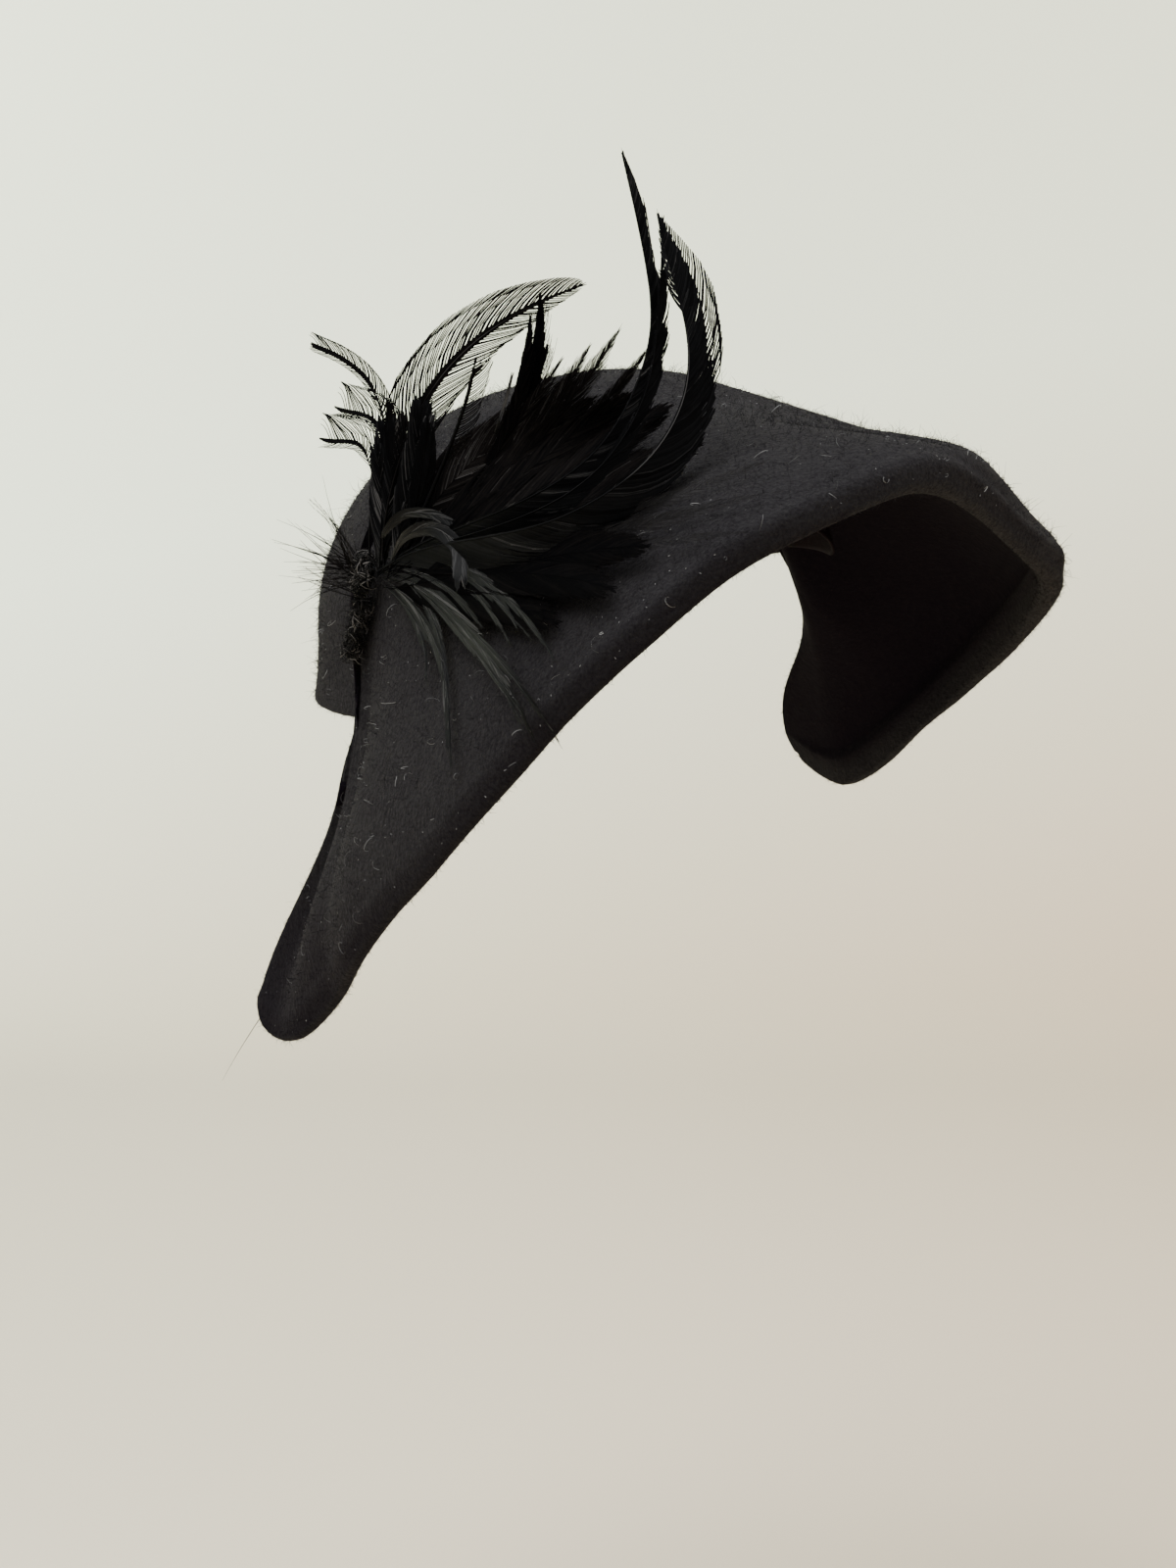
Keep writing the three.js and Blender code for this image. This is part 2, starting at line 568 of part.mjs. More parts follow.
// The padded knot where the feathers are tied, flat against the crown.
function headSolid(skin) {
  const depth = feltDepth(skin, HEAD.x, HEAD.y);
  const slopeX = (feltDepth(skin, HEAD.x + PROBE.board, HEAD.y) - depth) / PROBE.board;
  const slopeY = (feltDepth(skin, HEAD.x, HEAD.y + PROBE.board) - depth) / PROBE.board;
  const normal = NEAR.clone().addScaledVector(RIGHT, -slopeX).addScaledVector(UP, -slopeY).normalize();
  const middle = onBoard(HEAD.x, HEAD.y, depth).addScaledVector(normal, HEAD.deep + HEAD.standOff);
  const along = UP.clone().addScaledVector(normal, -UP.dot(normal)).normalize();
  const across = along.clone().cross(normal);
  const geometry = new THREE.SphereGeometry(1, ROUND_SEGMENTS, ROUND_SEGMENTS / 2);
  const basis = new THREE.Matrix4().makeBasis(
    across.multiplyScalar(HEAD.wide),
    along.multiplyScalar(HEAD.long),
    normal.multiplyScalar(HEAD.deep),
  );
  geometry.applyMatrix4(basis.setPosition(middle));
  return geometry;
}

// The bound quill ends below the knot: a tapered stick that lies along the crown, or with
// something extra all round, the seat it needs.
function stubSolid(skin, extra) {
  const heading = THREE.MathUtils.degToRad(STUB.heading);
  const ends = [0, 1].map((share) => {
    const x = STUB.topX + STUB.long * share * Math.cos(heading);
    const y = STUB.topY + STUB.long * share * Math.sin(heading);
    return onBoard(x, y, feltDepth(skin, x, y));
  });
  const line = ends[1].clone().sub(ends[0]);
  const outward = NEAR.clone().addScaledVector(RIGHT, -STUB.side).normalize();
  const axis = line.clone().normalize();
  outward.addScaledVector(axis, -outward.dot(axis)).normalize();
  const reach = line.length() + 2 * extra;
  const profile = STUB_OUTLINE.map(({ along: share, wide }) => {
    const radius = wide > 0 ? STUB.radius * wide + extra : 0;
    return new THREE.Vector2(radius, reach * share - extra);
  });
  const geometry = new THREE.LatheGeometry(profile, ROUND_SEGMENTS);
  const basis = new THREE.Matrix4().makeBasis(outward.clone().cross(axis).negate(), axis, outward);
  const middle = ends[0].clone().addScaledVector(outward, STUB.radius + STUB.standOff);
  geometry.applyMatrix4(basis.setPosition(middle));
  return geometry;
}

// The spray: every feather fused to the knot, the stub's seat cut out of it, and the small
// spaces that crossing feathers close off filled.
function spraySolid(skin) {
  let spray = solidOf(headSolid(skin));
  FEATHERS.forEach((row, i) => {
    const turn = i * PACKING.turn;
    const apart = PACKING.apart * Math.sqrt(i);
    const root = { ...row, x: row.x + apart * Math.cos(turn), y: row.y + apart * Math.sin(turn) };
    spray = spray.add(solidOf(featherSolid(root, i % PACKING.layers, skin)));
  });
  const cut = spray.subtract(solidOf(stubSolid(skin, GAP)));
  const shells = cut.decompose().filter((shell) => shell.volume() > 0);
  return geometryFrom(wasm.Manifold.union(shells).simplify(JOIN_TOLERANCE));
}

function piece(name, geometry, finish) {
  const material = new THREE.MeshStandardMaterial({ ...finish, metalness: 0 });
  const mesh = new THREE.Mesh(geometry, material);
  mesh.name = name;
  return mesh;
}

const sheet = feltSheet();
const skin = new THREE.Mesh(geometryOf(sheet.points, sheet.faces));
skin.geometry.computeVertexNormals();

const hat = new THREE.Group();
hat.rotation.y = -ROLL;
hat.add(piece('felt_hood', feltSolid(sheet), FINISH.felt));
hat.add(piece('head_band', bandSolid(), FINISH.band));
hat.add(piece('feather_spray', spraySolid(skin), FINISH.feather));
hat.add(piece('quill_stub', stubSolid(skin, 0), FINISH.quill));

const model = new THREE.Group();
model.add(hat);
export default model;
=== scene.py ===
# %% [markdown]
# # A tilt hat in black felt, with a spray of cock feathers
#
# The hat is one moulded felt hood. Its brim is draped: it stands out in front, falls into a
# flap on each side, and stops at a notch behind each flap, where the crown has a bare cut
# rim. A ribbed band runs inside the head opening, and a spray of feathers is tied to the
# right of the crown by a bound stub of quill ends.
#
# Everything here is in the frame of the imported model: metres, +Z up, the front is -Y, and
# the whole hat is rolled down to its own right, -X. The shapes are first worked out in the
# hat's upright frame, in millimetres, and turned and scaled once, at the very end.

import bpy
import numpy as np
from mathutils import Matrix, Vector
from mathutils.bvhtree import BVHTree


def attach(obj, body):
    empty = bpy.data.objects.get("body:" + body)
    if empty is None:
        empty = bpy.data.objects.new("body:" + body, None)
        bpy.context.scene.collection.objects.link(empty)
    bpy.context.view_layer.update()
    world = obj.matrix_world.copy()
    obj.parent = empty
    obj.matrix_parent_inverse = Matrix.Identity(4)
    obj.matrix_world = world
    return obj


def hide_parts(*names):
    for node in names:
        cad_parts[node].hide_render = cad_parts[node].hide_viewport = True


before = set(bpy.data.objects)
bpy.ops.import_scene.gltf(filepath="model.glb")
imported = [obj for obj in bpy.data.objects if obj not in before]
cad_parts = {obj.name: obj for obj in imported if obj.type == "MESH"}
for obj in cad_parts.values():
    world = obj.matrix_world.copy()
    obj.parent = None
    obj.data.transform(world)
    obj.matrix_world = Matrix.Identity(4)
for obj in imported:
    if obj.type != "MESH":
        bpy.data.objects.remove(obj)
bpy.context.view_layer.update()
MM = 0.001
ROLL = np.radians(17.7)
print("CAD nodes:", sorted(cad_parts))

# %% [markdown]
# ## The camera
#
# The picture was taken from the hat's front right, a little above level, from about 0.9 m.
# A camera could be aimed by eye until the hat sits right. Here it is worked out instead: the
# head opening's middle lies at a known pixel of the 1200 x 1600 picture, a millimetre there
# is a known number of pixels, and the distance gives the perspective.

# %% Place the camera
PICTURE = {"wide": 1200, "high": 1600}
VIEW = {"az": np.radians(-32.0), "el": np.radians(4.0), "away": 900.0}
OPENING_PIXEL = {"x": 592.0, "y": 640.0}
PIXELS_PER_MM = 3.45
SENSOR_MM = 36.0

toward_eye = np.array([
    np.sin(VIEW["az"]) * np.cos(VIEW["el"]),
    -np.cos(VIEW["az"]) * np.cos(VIEW["el"]),
    np.sin(VIEW["el"]),
])
picture_right = np.array([np.cos(VIEW["az"]), np.sin(VIEW["az"]), 0.0])
picture_up = np.cross(toward_eye, picture_right)
off_right = (PICTURE["wide"] / 2 - OPENING_PIXEL["x"]) / PIXELS_PER_MM
off_up = (OPENING_PIXEL["y"] - PICTURE["high"] / 2) / PIXELS_PER_MM
look_at = picture_right * off_right + picture_up * off_up

camera_data = bpy.data.cameras.new("camera")
camera_data.sensor_width = SENSOR_MM
camera_data.lens = PIXELS_PER_MM * VIEW["away"] * SENSOR_MM / PICTURE["high"]
camera = bpy.data.objects.new("camera", camera_data)
bpy.context.scene.collection.objects.link(camera)
camera.location = Vector((look_at + toward_eye * VIEW["away"]) * MM)
camera.rotation_mode = "QUATERNION"
camera.rotation_quaternion = Vector(-toward_eye).to_track_quat("-Z", "Y")
bpy.context.scene.camera = camera
print("lens", round(camera_data.lens, 1), "mm")

# %% [markdown]
# ## From arrays to meshes
#
# Each piece is worked out as whole arrays: points as rows of three numbers, faces as rows
# of four or three. A piece is a list of such parts, joined. Each point may carry two
# values, "tint" and "along", which its material reads to vary colour and gloss.

# %% Mesh helpers
def to_world(points):
    """Turns points by the hat's roll about Y, in mm, and gives them in metres."""
    x, y, z = points[..., 0], points[..., 1], points[..., 2]
    turned = np.stack([
        x * np.cos(ROLL) - z * np.sin(ROLL),
        y,
        x * np.sin(ROLL) + z * np.cos(ROLL),
    ], -1)
    return turned * MM


def unit(vectors):
    """Each vector divided by its own length."""
    return vectors / np.maximum(np.linalg.norm(vectors, axis=-1, keepdims=True), 1e-9)


def strips(left, right, tint):
    """Ribbons from the two edges of each: a quad from every step to the next."""
    count, steps = left.shape[:2]
    ids = np.arange(count * steps * 2).reshape(count, steps, 2)
    faces = np.stack([ids[:, :-1, 0], ids[:, 1:, 0], ids[:, 1:, 1], ids[:, :-1, 1]], -1)
    return {
        "points": np.stack([left, right], 2),
        "faces": faces.reshape(-1, 4),
        "tint": np.repeat(np.broadcast_to(tint, count), 2 * steps),
        "along": np.tile(np.repeat(np.linspace(0, 1, steps), 2), count),
    }


def grid_faces(ids, around=False, across=False):
    """Quads between neighbours of a grid of point numbers, closed round either way if asked."""
    rows = np.vstack([ids, ids[:1]]) if around else ids
    rows = np.hstack([rows, rows[:, :1]]) if across else rows
    a, b = rows[:-1, :-1], rows[1:, :-1]
    c, d = rows[1:, 1:], rows[:-1, 1:]
    return np.stack([a, b, c, d], -1).reshape(-1, 4)


def join(parts):
    """One part of several: points stacked, face numbers moved on, values filled in."""
    points, faces, tints, alongs = [], [], [], []
    count = 0
    for part in parts:
        points.append(part["points"].reshape(-1, 3))
        size = len(points[-1])
        faces.append(part["faces"] + count)
        tints.append(np.broadcast_to(part.get("tint", 0.5), size))
        alongs.append(np.broadcast_to(part.get("along", 0.5), size))
        count += size
    return {
        "points": np.concatenate(points),
        "faces": np.concatenate(faces),
        "tint": np.concatenate(tints),
        "along": np.concatenate(alongs),
    }


def new_piece(name, parts, material, replaces=()):
    """Puts joined parts into a mesh object that rides with the hat and has one finish."""
    whole = join(parts)
    mesh = bpy.data.meshes.new(name)
    faces = whole["faces"]
    points = to_world(whole["points"])
    mesh.vertices.add(len(points))
    mesh.vertices.foreach_set("co", points.astype(np.float32).ravel())
    mesh.loops.add(faces.size)
    mesh.loops.foreach_set("vertex_index", faces.astype(np.int32).ravel())
    mesh.polygons.add(len(faces))
    mesh.polygons.foreach_set("loop_start", np.arange(0, faces.size, faces.shape[1], dtype=np.int32))
    mesh.polygons.foreach_set("use_smooth", np.full(len(faces), True))
    for key in ("tint", "along"):
        values = mesh.attributes.new(key, "FLOAT", "POINT")
        values.data.foreach_set("value", whole[key].astype(np.float32))
    mesh.update(calc_edges=True)
    mesh.validate()
    piece = bpy.data.objects.new(name, mesh)
    bpy.context.scene.collection.objects.link(piece)
    mesh.materials.append(material)
    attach(piece, "root")
    if replaces:
        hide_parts(*replaces)
    triangles = len(faces) * (faces.shape[1] - 2)
    print(name, len(points), "points", triangles, "triangles")


# %% [markdown]
# ## Smooth tables
#
# The brim has no simple formula, so it is a table with a row for each section. Between the
# rows every column follows a Catmull-Rom curve, which passes through each value and stays
# smooth there. The same curve carries the feathers' headings and their paths.

# %% Read a table between its rows
def smooth_rows(table, places):
    """Catmull-Rom: each value leaves a row along the line between that row's neighbours."""
    table = np.asarray(table, float)
    ends = np.vstack([2 * table[0] - table[1], table, 2 * table[-1] - table[-2]])
    places = np.clip(np.asarray(places, float), 0, len(table) - 1)
    row = np.minimum(places.astype(int), len(table) - 2)
    t = (places - row)[:, None]
    a, b, c, d = ends[row], ends[row + 1], ends[row + 2], ends[row + 3]
    bend = 2 * a - 5 * b + 4 * c - d
    twist = 3 * b - 3 * c + d - a
    return 0.5 * (2 * b + t * (c - a + t * (bend + t * twist)))


def smooth_step(values, start, end):
    """0 before start, 1 after end, and an S curve between: 3t^2 - 2t^3."""
    t = np.clip((values - start) / (end - start), 0, 1)
    return t * t * (3 - 2 * t)


# %% [markdown]
# ## The crown and the brim
#
# The crown is a squarish dome over an oval opening. A real one is steamed and pulled over a
# wooden block, so its profile is a rounded square rather than a half circle: each level's
# size is (1 - height^n)^(1/n), with n near 2 at the back and 2.7 at the front left, where
# the block is fullest. Each brim section is one cubic Bezier curve: it leaves the crown
# along its slope and arrives at the free edge with the dip that the edge has there.

# %% Sizes and the brim's table
CROWN = {"half_width": 74, "half_length": 89, "height": 72.6, "flare": 4, "flare_up": 18}
FULLNESS = {"mean": 2.35, "swing": 0.35, "az": np.radians(58)}
FELT = {"wall": 2.2, "hem_wide": 10, "hem_step": 1.5}
# Where a section leaves the crown (angle, height), where it ends (angle, out, up), how
# steeply it dips there, and how far it holds to its slope at the start and at the end
SECTIONS = [
    (-91, 0, -112.8, 124.5, -84, 60, 0.45, 0.40),
    (-90.5, 4, -107.5, 121, -88, 60, 0.45, 0.40),
    (-90, 7, -101, 117, -86, 72, 0.45, 0.40),
    (-88, 11, -95, 113, -80, 82, 0.45, 0.40),
    (-84, 18, -87.5, 112, -71, 86, 0.45, 0.35),
    (-78, 28, -78, 116, -59, 88, 0.45, 0.30),
    (-68, 40, -67, 120, -44, 88, 0.50, 0.25),
    (-57, 50, -57, 126, -31, 88, 0.55, 0.20),
    (-45, 59, -43.3, 135, -10, 88, 0.60, 0.16),
    (-34, 63, -34, 143, 6, 88, 0.65, 0.14),
    (-24, 65, -25, 149, 19, 88, 0.70, 0.13),
    (-12, 67, -14, 151, 31, 88, 0.66, 0.14),
    (0, 68, -1, 151, 35, 88, 0.60, 0.13),
    (10, 67, 10, 150, 34, 88, 0.61, 0.14),
    (20, 65, 19, 147, 20, 88, 0.98, 0.26),
    (30, 62.5, 29, 145, 1, 88, 0.70, 0.39),
    (42, 63, 42, 141, -14, 90, 1.04, 0.07),
    (54, 61.5, 57, 137.5, -27, 92, 0.62, 0.33),
    (67, 49, 73, 132, -44, 92, 0.50, 0.32),
    (77, 36, 83, 122, -59, 92, 0.45, 0.35),
    (84, 23, 90, 113, -69, 92, 0.45, 0.38),
    (88, 12, 98, 110, -79, 88, 0.45, 0.40),
    (90, 7, 107, 110, -86, 84, 0.45, 0.40),
    (90.5, 4, 113, 113, -85, 80, 0.45, 0.40),
    (91, 0, 119, 117, -78, 72, 0.45, 0.40),
]
# Folds: at, spread (rows of the table), from, to (shares of a section), out, lift (mm)
FOLDS = [
    (2.2, 1.6, -0.7, 0.35, 1.5, 0),
    (2.4, 1.5, 0.35, 1.1, 1.5, 0),
    (16.4, 0.9, 0.5, 0.95, -1.5, -4.5),
    (16.2, 1.2, 0.75, 1.2, 1.5, 0.5),
    (21.8, 1.6, -0.7, 0.35, 2.5, 0),
]
CURVE_STEPS = 120
PER_SECTION = 8
BACK_COLUMNS = 92
CROWN_RINGS = 34
BRIM_RINGS = 46
HEM_RINGS = 14
NOSE_RINGS = 5
HEM_TAPER = 2


def polar(az, out, up):
    """A point by its angle from the front, its distance from the axis and its height."""
    return np.stack([out * np.sin(az), -out * np.cos(az), up + 0 * az], -1)


def crown_point(az, up):
    """The rounded-square dome at an angle and a height, with a small flare at its rim."""
    rim = 1 / np.hypot(np.sin(az) / CROWN["half_width"], np.cos(az) / CROWN["half_length"])
    share = np.clip(up / CROWN["height"], 0, 1)
    n = FULLNESS["mean"] + FULLNESS["swing"] * np.cos(az - FULLNESS["az"])
    flare = CROWN["flare"] * np.maximum(0, 1 - up / CROWN["flare_up"]) ** 2
    return polar(az, rim * (1 - share ** n) ** (1 / n) + flare, up)


def crown_columns(az, low):
    """Columns of the crown from just off its top down to a height, evenly by angle."""
    steepest = np.arccos(low / CROWN["height"])
    shares = np.arange(1, CROWN_RINGS + 1) / CROWN_RINGS
    up = CROWN["height"] * np.cos(steepest[:, None] * shares)
    return crown_point(az[:, None] + 0 * up, up), shares - 1


def brim_columns(rows, stations):
    """Cubic Bezier sections: a^3 p0 + 3a^2 b p1 + 3a b^2 p2 + b^3 p3, with a + b = 1."""
    az, leave, edge_az, out, up, dip, start, end = rows.T
    az, edge_az, dip = np.radians(az), np.radians(edge_az), np.radians(dip)
    probe = 0.5
    root = crown_point(az, leave)
    down = unit(crown_point(az, leave - probe) - crown_point(az, leave + probe))
    edge = polar(edge_az, out, up)
    last = polar(edge_az, np.cos(dip), -np.sin(dip))
    span = np.linalg.norm(edge - root, axis=-1)[:, None]
    knee = root + down * span * start[:, None]
    shin = edge - last * span * end[:, None]
    b = np.linspace(0, 1, CURVE_STEPS + 1)[None, :, None]
    a = 1 - b
    root, knee, shin, edge = (p[:, None] for p in (root, knee, shin, edge))
    fine = a**3 * root + 3 * a**2 * b * knee + 3 * a * b**2 * shin + b**3 * edge
    steps = np.linalg.norm(np.diff(fine, axis=1), axis=-1)
    length = np.concatenate([np.zeros((len(rows), 1)), steps.cumsum(1)], 1)
    total = length[:, -1]
    wanted = stations(total)
    even = np.empty(wanted.shape + (3,))
    for i in range(len(rows)):
        for axis in range(3):
            even[i, :, axis] = np.interp(wanted[i] * total[i], length[i], fine[i, :, axis])
    return even, wanted, total


def press_folds(points, place, along):
    """Each fold pushes the felt out and up by a bell across it and a sine squared along it."""
    outward = unit(points * [1, 1, 0])
    moved = points.copy()
    for at, spread, start, end, out, lift in FOLDS:
        side = np.exp(-(((place - at) / spread) ** 2))
        run = np.clip((along - start) / (end - start), 0, 1)
        swell = side * np.sin(np.pi * run) ** 2
        moved += outward * (out * swell)[..., None]
        moved[..., 2] += lift * swell
    return moved


# %% [markdown]
# ## Felt is never flat
#
# Blocked felt keeps small waves from steaming and handling: long shallow ones that run
# round the brim, and short ones beside the notches where the cloth is eased in. They are a
# few sine waves of places and heights, under a millimetre deep. The lip has its own form:
# the turned-under hem makes the edge fat, and a shallow groove above it shows the seam.

# %% Waves and the lip
WAVES = [
    # depth mm, turns round the hat, turns down a section, phase
    (0.45, 3.0, 1.3, 0.4),
    (0.28, 7.0, 0.6, 2.1),
    (0.14, 11.0, 2.2, 4.4),
    (0.09, 17.0, 3.4, 1.3),
    (0.05, 29.0, 1.7, 5.2),
]
LIP = {"swell": 0.30, "roll": 0.9, "from": 7.0, "to": 19.0, "groove": 0.08, "groove_wide": 2.0}
PLEATS = {"deep": 0.30, "turns": 1.3, "from": 0.8, "reach": 2.6, "at": 0.47, "spread": 0.13}


def wave_heights(turn, down):
    """A sum of sines of the turn round the hat (0 to 1) and of the way down (0 to 1)."""
    height = 0
    for depth, around, along, phase in WAVES:
        height = height + depth * np.sin(2 * np.pi * (around * turn + along * down) + phase)
    return height


def lip_heights(to_edge, place):
    """A sine swell over the hem, fattest in front, and a narrow bell groove at its stitch line."""
    wide = FELT["hem_wide"]
    inside = np.clip(1 - to_edge / wide, 0, 1)
    front = smooth_step(place, LIP["from"], LIP["from"] + 4)
    front = front * (1 - smooth_step(place, LIP["to"] - 4, LIP["to"]))
    swell = (LIP["swell"] + LIP["roll"] * front) * np.sin(np.pi * inside) ** 2
    groove = LIP["groove"] * np.exp(-(((to_edge - wide) / LIP["groove_wide"]) ** 2))
    return swell - groove


def pleat_heights(place, down):
    """Beside each notch the cloth is eased in: sines across it that fade away from it."""
    last = len(SECTIONS) - 1
    near_notch = np.maximum(np.minimum(place, last - place) - PLEATS["from"], 0)
    across = np.sin(2 * np.pi * PLEATS["turns"] * near_notch)
    fade = np.exp(-((near_notch / PLEATS["reach"]) ** 2))
    bell = np.exp(-(((down - PLEATS["at"]) / PLEATS["spread"]) ** 2))
    return PLEATS["deep"] * across * fade * bell


# %% [markdown]
# ## One skin, one thickness, one edge
#
# The hood could be two surfaces glued at the edge, or a sheet with a Solidify modifier. The
# modifier would give one thickness everywhere, and this felt is doubled where the hem turns
# under. So the outer skin is made as one net of points, each point goes inward along its
# own normal by the felt's thickness at that place, and a half-round nose closes the edge.

# %% The outer skin of the hood
HEM_MARGIN = 2
CORNER = 6.0


def hem_stations(total):
    """Even steps down to the hem, then finer ones over its width, as shares of each length."""
    hem = (FELT["hem_wide"] + HEM_MARGIN) / total[:, None]
    upper = np.arange(1, BRIM_RINGS + 1) / BRIM_RINGS * (1 - hem)
    lower = 1 - hem * (1 - np.arange(1, HEM_RINGS + 1) / HEM_RINGS)
    return np.hstack([upper, lower])


def round_corners(net, share, length):
    """Within a square at each bottom corner, square distances become round ones."""
    up_way = unit(np.gradient(net, axis=1))
    side_way = unit(np.gradient(net, axis=0))
    below = (1 - share) * length[:, None]
    steps = np.linalg.norm(np.diff(net, axis=0), axis=-1)
    zero = np.zeros((1, net.shape[1]))
    from_start = np.concatenate([zero, steps.cumsum(0)])
    from_end = np.concatenate([steps[::-1].cumsum(0)[::-1], zero])
    moved = net.copy()
    for beside, sign in ((from_start, 1.0), (from_end, -1.0)):
        a, b = CORNER - beside, CORNER - below
        inside = (a > 0) & (b > 0)
        shrink = np.maximum(a, b) / np.maximum(np.hypot(a, b), 1e-6)
        give = np.where(inside, 1 - shrink, 0)
        moved += side_way * (sign * a * give)[..., None] - up_way * (b * give)[..., None]
    return moved


place = np.linspace(0, len(SECTIONS) - 1, (len(SECTIONS) - 1) * PER_SECTION + 1)
rows = smooth_rows(SECTIONS, place)
FRONT = len(rows)
sweep = 360 + SECTIONS[0][0] - SECTIONS[-1][0]
back_az = SECTIONS[-1][0] + sweep * np.arange(1, BACK_COLUMNS) / BACK_COLUMNS
crown_az = np.radians(np.concatenate([rows[:, 0], back_az]))
crown_low = np.concatenate([np.maximum(rows[:, 1], 0), np.zeros(len(back_az))])
crown_net, crown_share = crown_columns(crown_az, crown_low)
crown_net[:FRONT] = press_folds(crown_net[:FRONT], place[:, None], crown_share[None, :])
brim_net, brim_share, brim_length = brim_columns(rows, hem_stations)
brim_net = press_folds(brim_net, place[:, None], brim_share)
brim_net = round_corners(brim_net, brim_share, brim_length)

COLUMNS = len(crown_az)
crown_ids = 1 + np.arange(COLUMNS * CROWN_RINGS).reshape(COLUMNS, CROWN_RINGS)
brim_ids = 1 + crown_ids.size + np.arange(brim_net.shape[0] * brim_net.shape[1])
brim_ids = brim_ids.reshape(brim_net.shape[:2])
skin = np.concatenate([[[0, 0, CROWN["height"]]], crown_net.reshape(-1, 3), brim_net.reshape(-1, 3)])
front_ids = np.hstack([crown_ids[:FRONT, -1:], brim_ids])
top_ring = np.append(crown_ids[:, 0], crown_ids[0, 0])
top_faces = np.stack([0 * top_ring[:-1], top_ring[:-1], top_ring[1:]], -1)
skin_quads = np.concatenate([
    grid_faces(crown_ids, around=True)[:, ::-1],
    grid_faces(front_ids)[:, ::-1],
])
print("skin", len(skin), "points,", FRONT, "brim sections")


# %% Normals of the skin
def point_normals(points, quads, triangles):
    """Each point's normal is the sum of its faces' area normals, made one long."""
    fan = np.concatenate([quads[:, [0, 1, 2]], quads[:, [0, 2, 3]], triangles])
    corners = points[fan]
    area = np.cross(corners[:, 1] - corners[:, 0], corners[:, 2] - corners[:, 0])
    normals = np.zeros_like(points)
    for corner in range(3):
        np.add.at(normals, fan[:, corner], area)
    return unit(normals)


def outward_first(points, quads, triangles):
    """Turns every face over if the net's normals point at the hat's axis."""
    normals = point_normals(points, quads, triangles)
    middle = crown_ids[:, CROWN_RINGS // 2]
    inward = (normals[middle] * unit(points[middle])).sum() < 0
    return (quads[:, ::-1], triangles[:, ::-1], -normals) if inward else (quads, triangles, normals)


skin_quads, top_faces, normals = outward_first(skin, skin_quads, top_faces)
FAR_FROM_EDGE = 1e3
TOP_FADE = (0.02, 0.25)
turn = np.zeros(len(skin))
down = np.zeros(len(skin))
to_edge = np.full(len(skin), FAR_FROM_EDGE)
skin_place = np.full(len(skin), len(SECTIONS) / 2)
skin_place[crown_ids[:FRONT]] = place[:, None]
skin_place[brim_ids] = place[:, None]
column_turn = (np.unwrap(crown_az) / (2 * np.pi)) % 1
turn[crown_ids] = column_turn[:, None]
down[crown_ids] = 0.5 * (crown_share + 1)[None, :]
turn[brim_ids] = column_turn[:FRONT, None]
down[brim_ids] = 0.5 + 0.5 * brim_share
to_edge[brim_ids] = (1 - brim_share) * brim_length[:, None]
fade_top = smooth_step(down, *TOP_FADE)
bumps = wave_heights(turn, down) * fade_top + lip_heights(to_edge, skin_place)
bumps = bumps + pleat_heights(skin_place, down)
skin = skin + normals * bumps[:, None]
normals = point_normals(skin, skin_quads, top_faces)

# %% Thickness, inner skin and edge
SOFT_CORNER = {"at": 16.2, "spread": 3.0, "passes": 90}


def soften_corner(net, place):
    """Where the lip turns, each section moves toward the mean of its neighbours, by a bell."""
    bell = np.exp(-(((place - SOFT_CORNER["at"]) / SOFT_CORNER["spread"]) ** 2))
    share = 0.5 * bell[1:-1, None, None]
    for _ in range(SOFT_CORNER["passes"]):
        middle = (net[:-2] + net[2:]) / 2
        net[1:-1] = net[1:-1] * (1 - share) + middle * share
    return net


taper = np.clip(np.minimum(place, len(SECTIONS) - 1 - place) / HEM_TAPER, 0, 1)
wall = np.full(len(skin), FELT["wall"])
hem_top = FELT["hem_wide"] + 0.5 * FELT["hem_step"]
hem_foot = FELT["hem_wide"] - 0.5 * FELT["hem_step"]
doubled = 1 - smooth_step(to_edge[brim_ids], hem_foot, hem_top)
wall[brim_ids] += FELT["wall"] * doubled * taper[:, None]
inner = skin - normals * wall[:, None]
inner[brim_ids] = soften_corner(inner[brim_ids], place)

edge_ids = np.concatenate([
    brim_ids[:, -1],
    brim_ids[-1, -2::-1],
    crown_ids[FRONT - 1:, -1],
    crown_ids[0, -1:],
    brim_ids[0, :-1],
])
edge_points, edge_normals = skin[edge_ids], normals[edge_ids]
edge_run = unit(np.roll(edge_points, -1, 0) - np.roll(edge_points, 1, 0))
edge_out = unit(np.cross(edge_run, edge_normals))
hem_edge = len(brim_ids) // 2
if (edge_out[hem_edge] * (skin[brim_ids[hem_edge, -1]] - skin[brim_ids[hem_edge, -3]])).sum() < 0:
    edge_out = -edge_out
nose_angles = np.pi * np.arange(1, NOSE_RINGS + 1) / (NOSE_RINGS + 1)
nose_middle = (edge_points + inner[edge_ids]) / 2
nose_half = (edge_points - inner[edge_ids]) / 2
nose_deep = edge_out * np.linalg.norm(nose_half, axis=-1, keepdims=True)
nose = (
    nose_middle[:, None]
    + nose_half[:, None] * np.cos(nose_angles)[None, :, None]
    + nose_deep[:, None] * np.sin(nose_angles)[None, :, None]
)
nose_start = 2 * len(skin)
nose_ids = nose_start + np.arange(nose[..., 0].size).reshape(nose.shape[:2])
edge_net = np.hstack([edge_ids[:, None], nose_ids, edge_ids[:, None] + len(skin)])
nose_quads = grid_faces(edge_net, around=True)
hood_points = np.concatenate([skin, inner, nose.reshape(-1, 3)])
corner = hood_points[nose_quads[hem_edge * (NOSE_RINGS + 1)]]
nose_way = np.cross(corner[1] - corner[0], corner[2] - corner[0])
if (nose_way * edge_normals[hem_edge]).sum() < 0:
    nose_quads = nose_quads[:, ::-1]
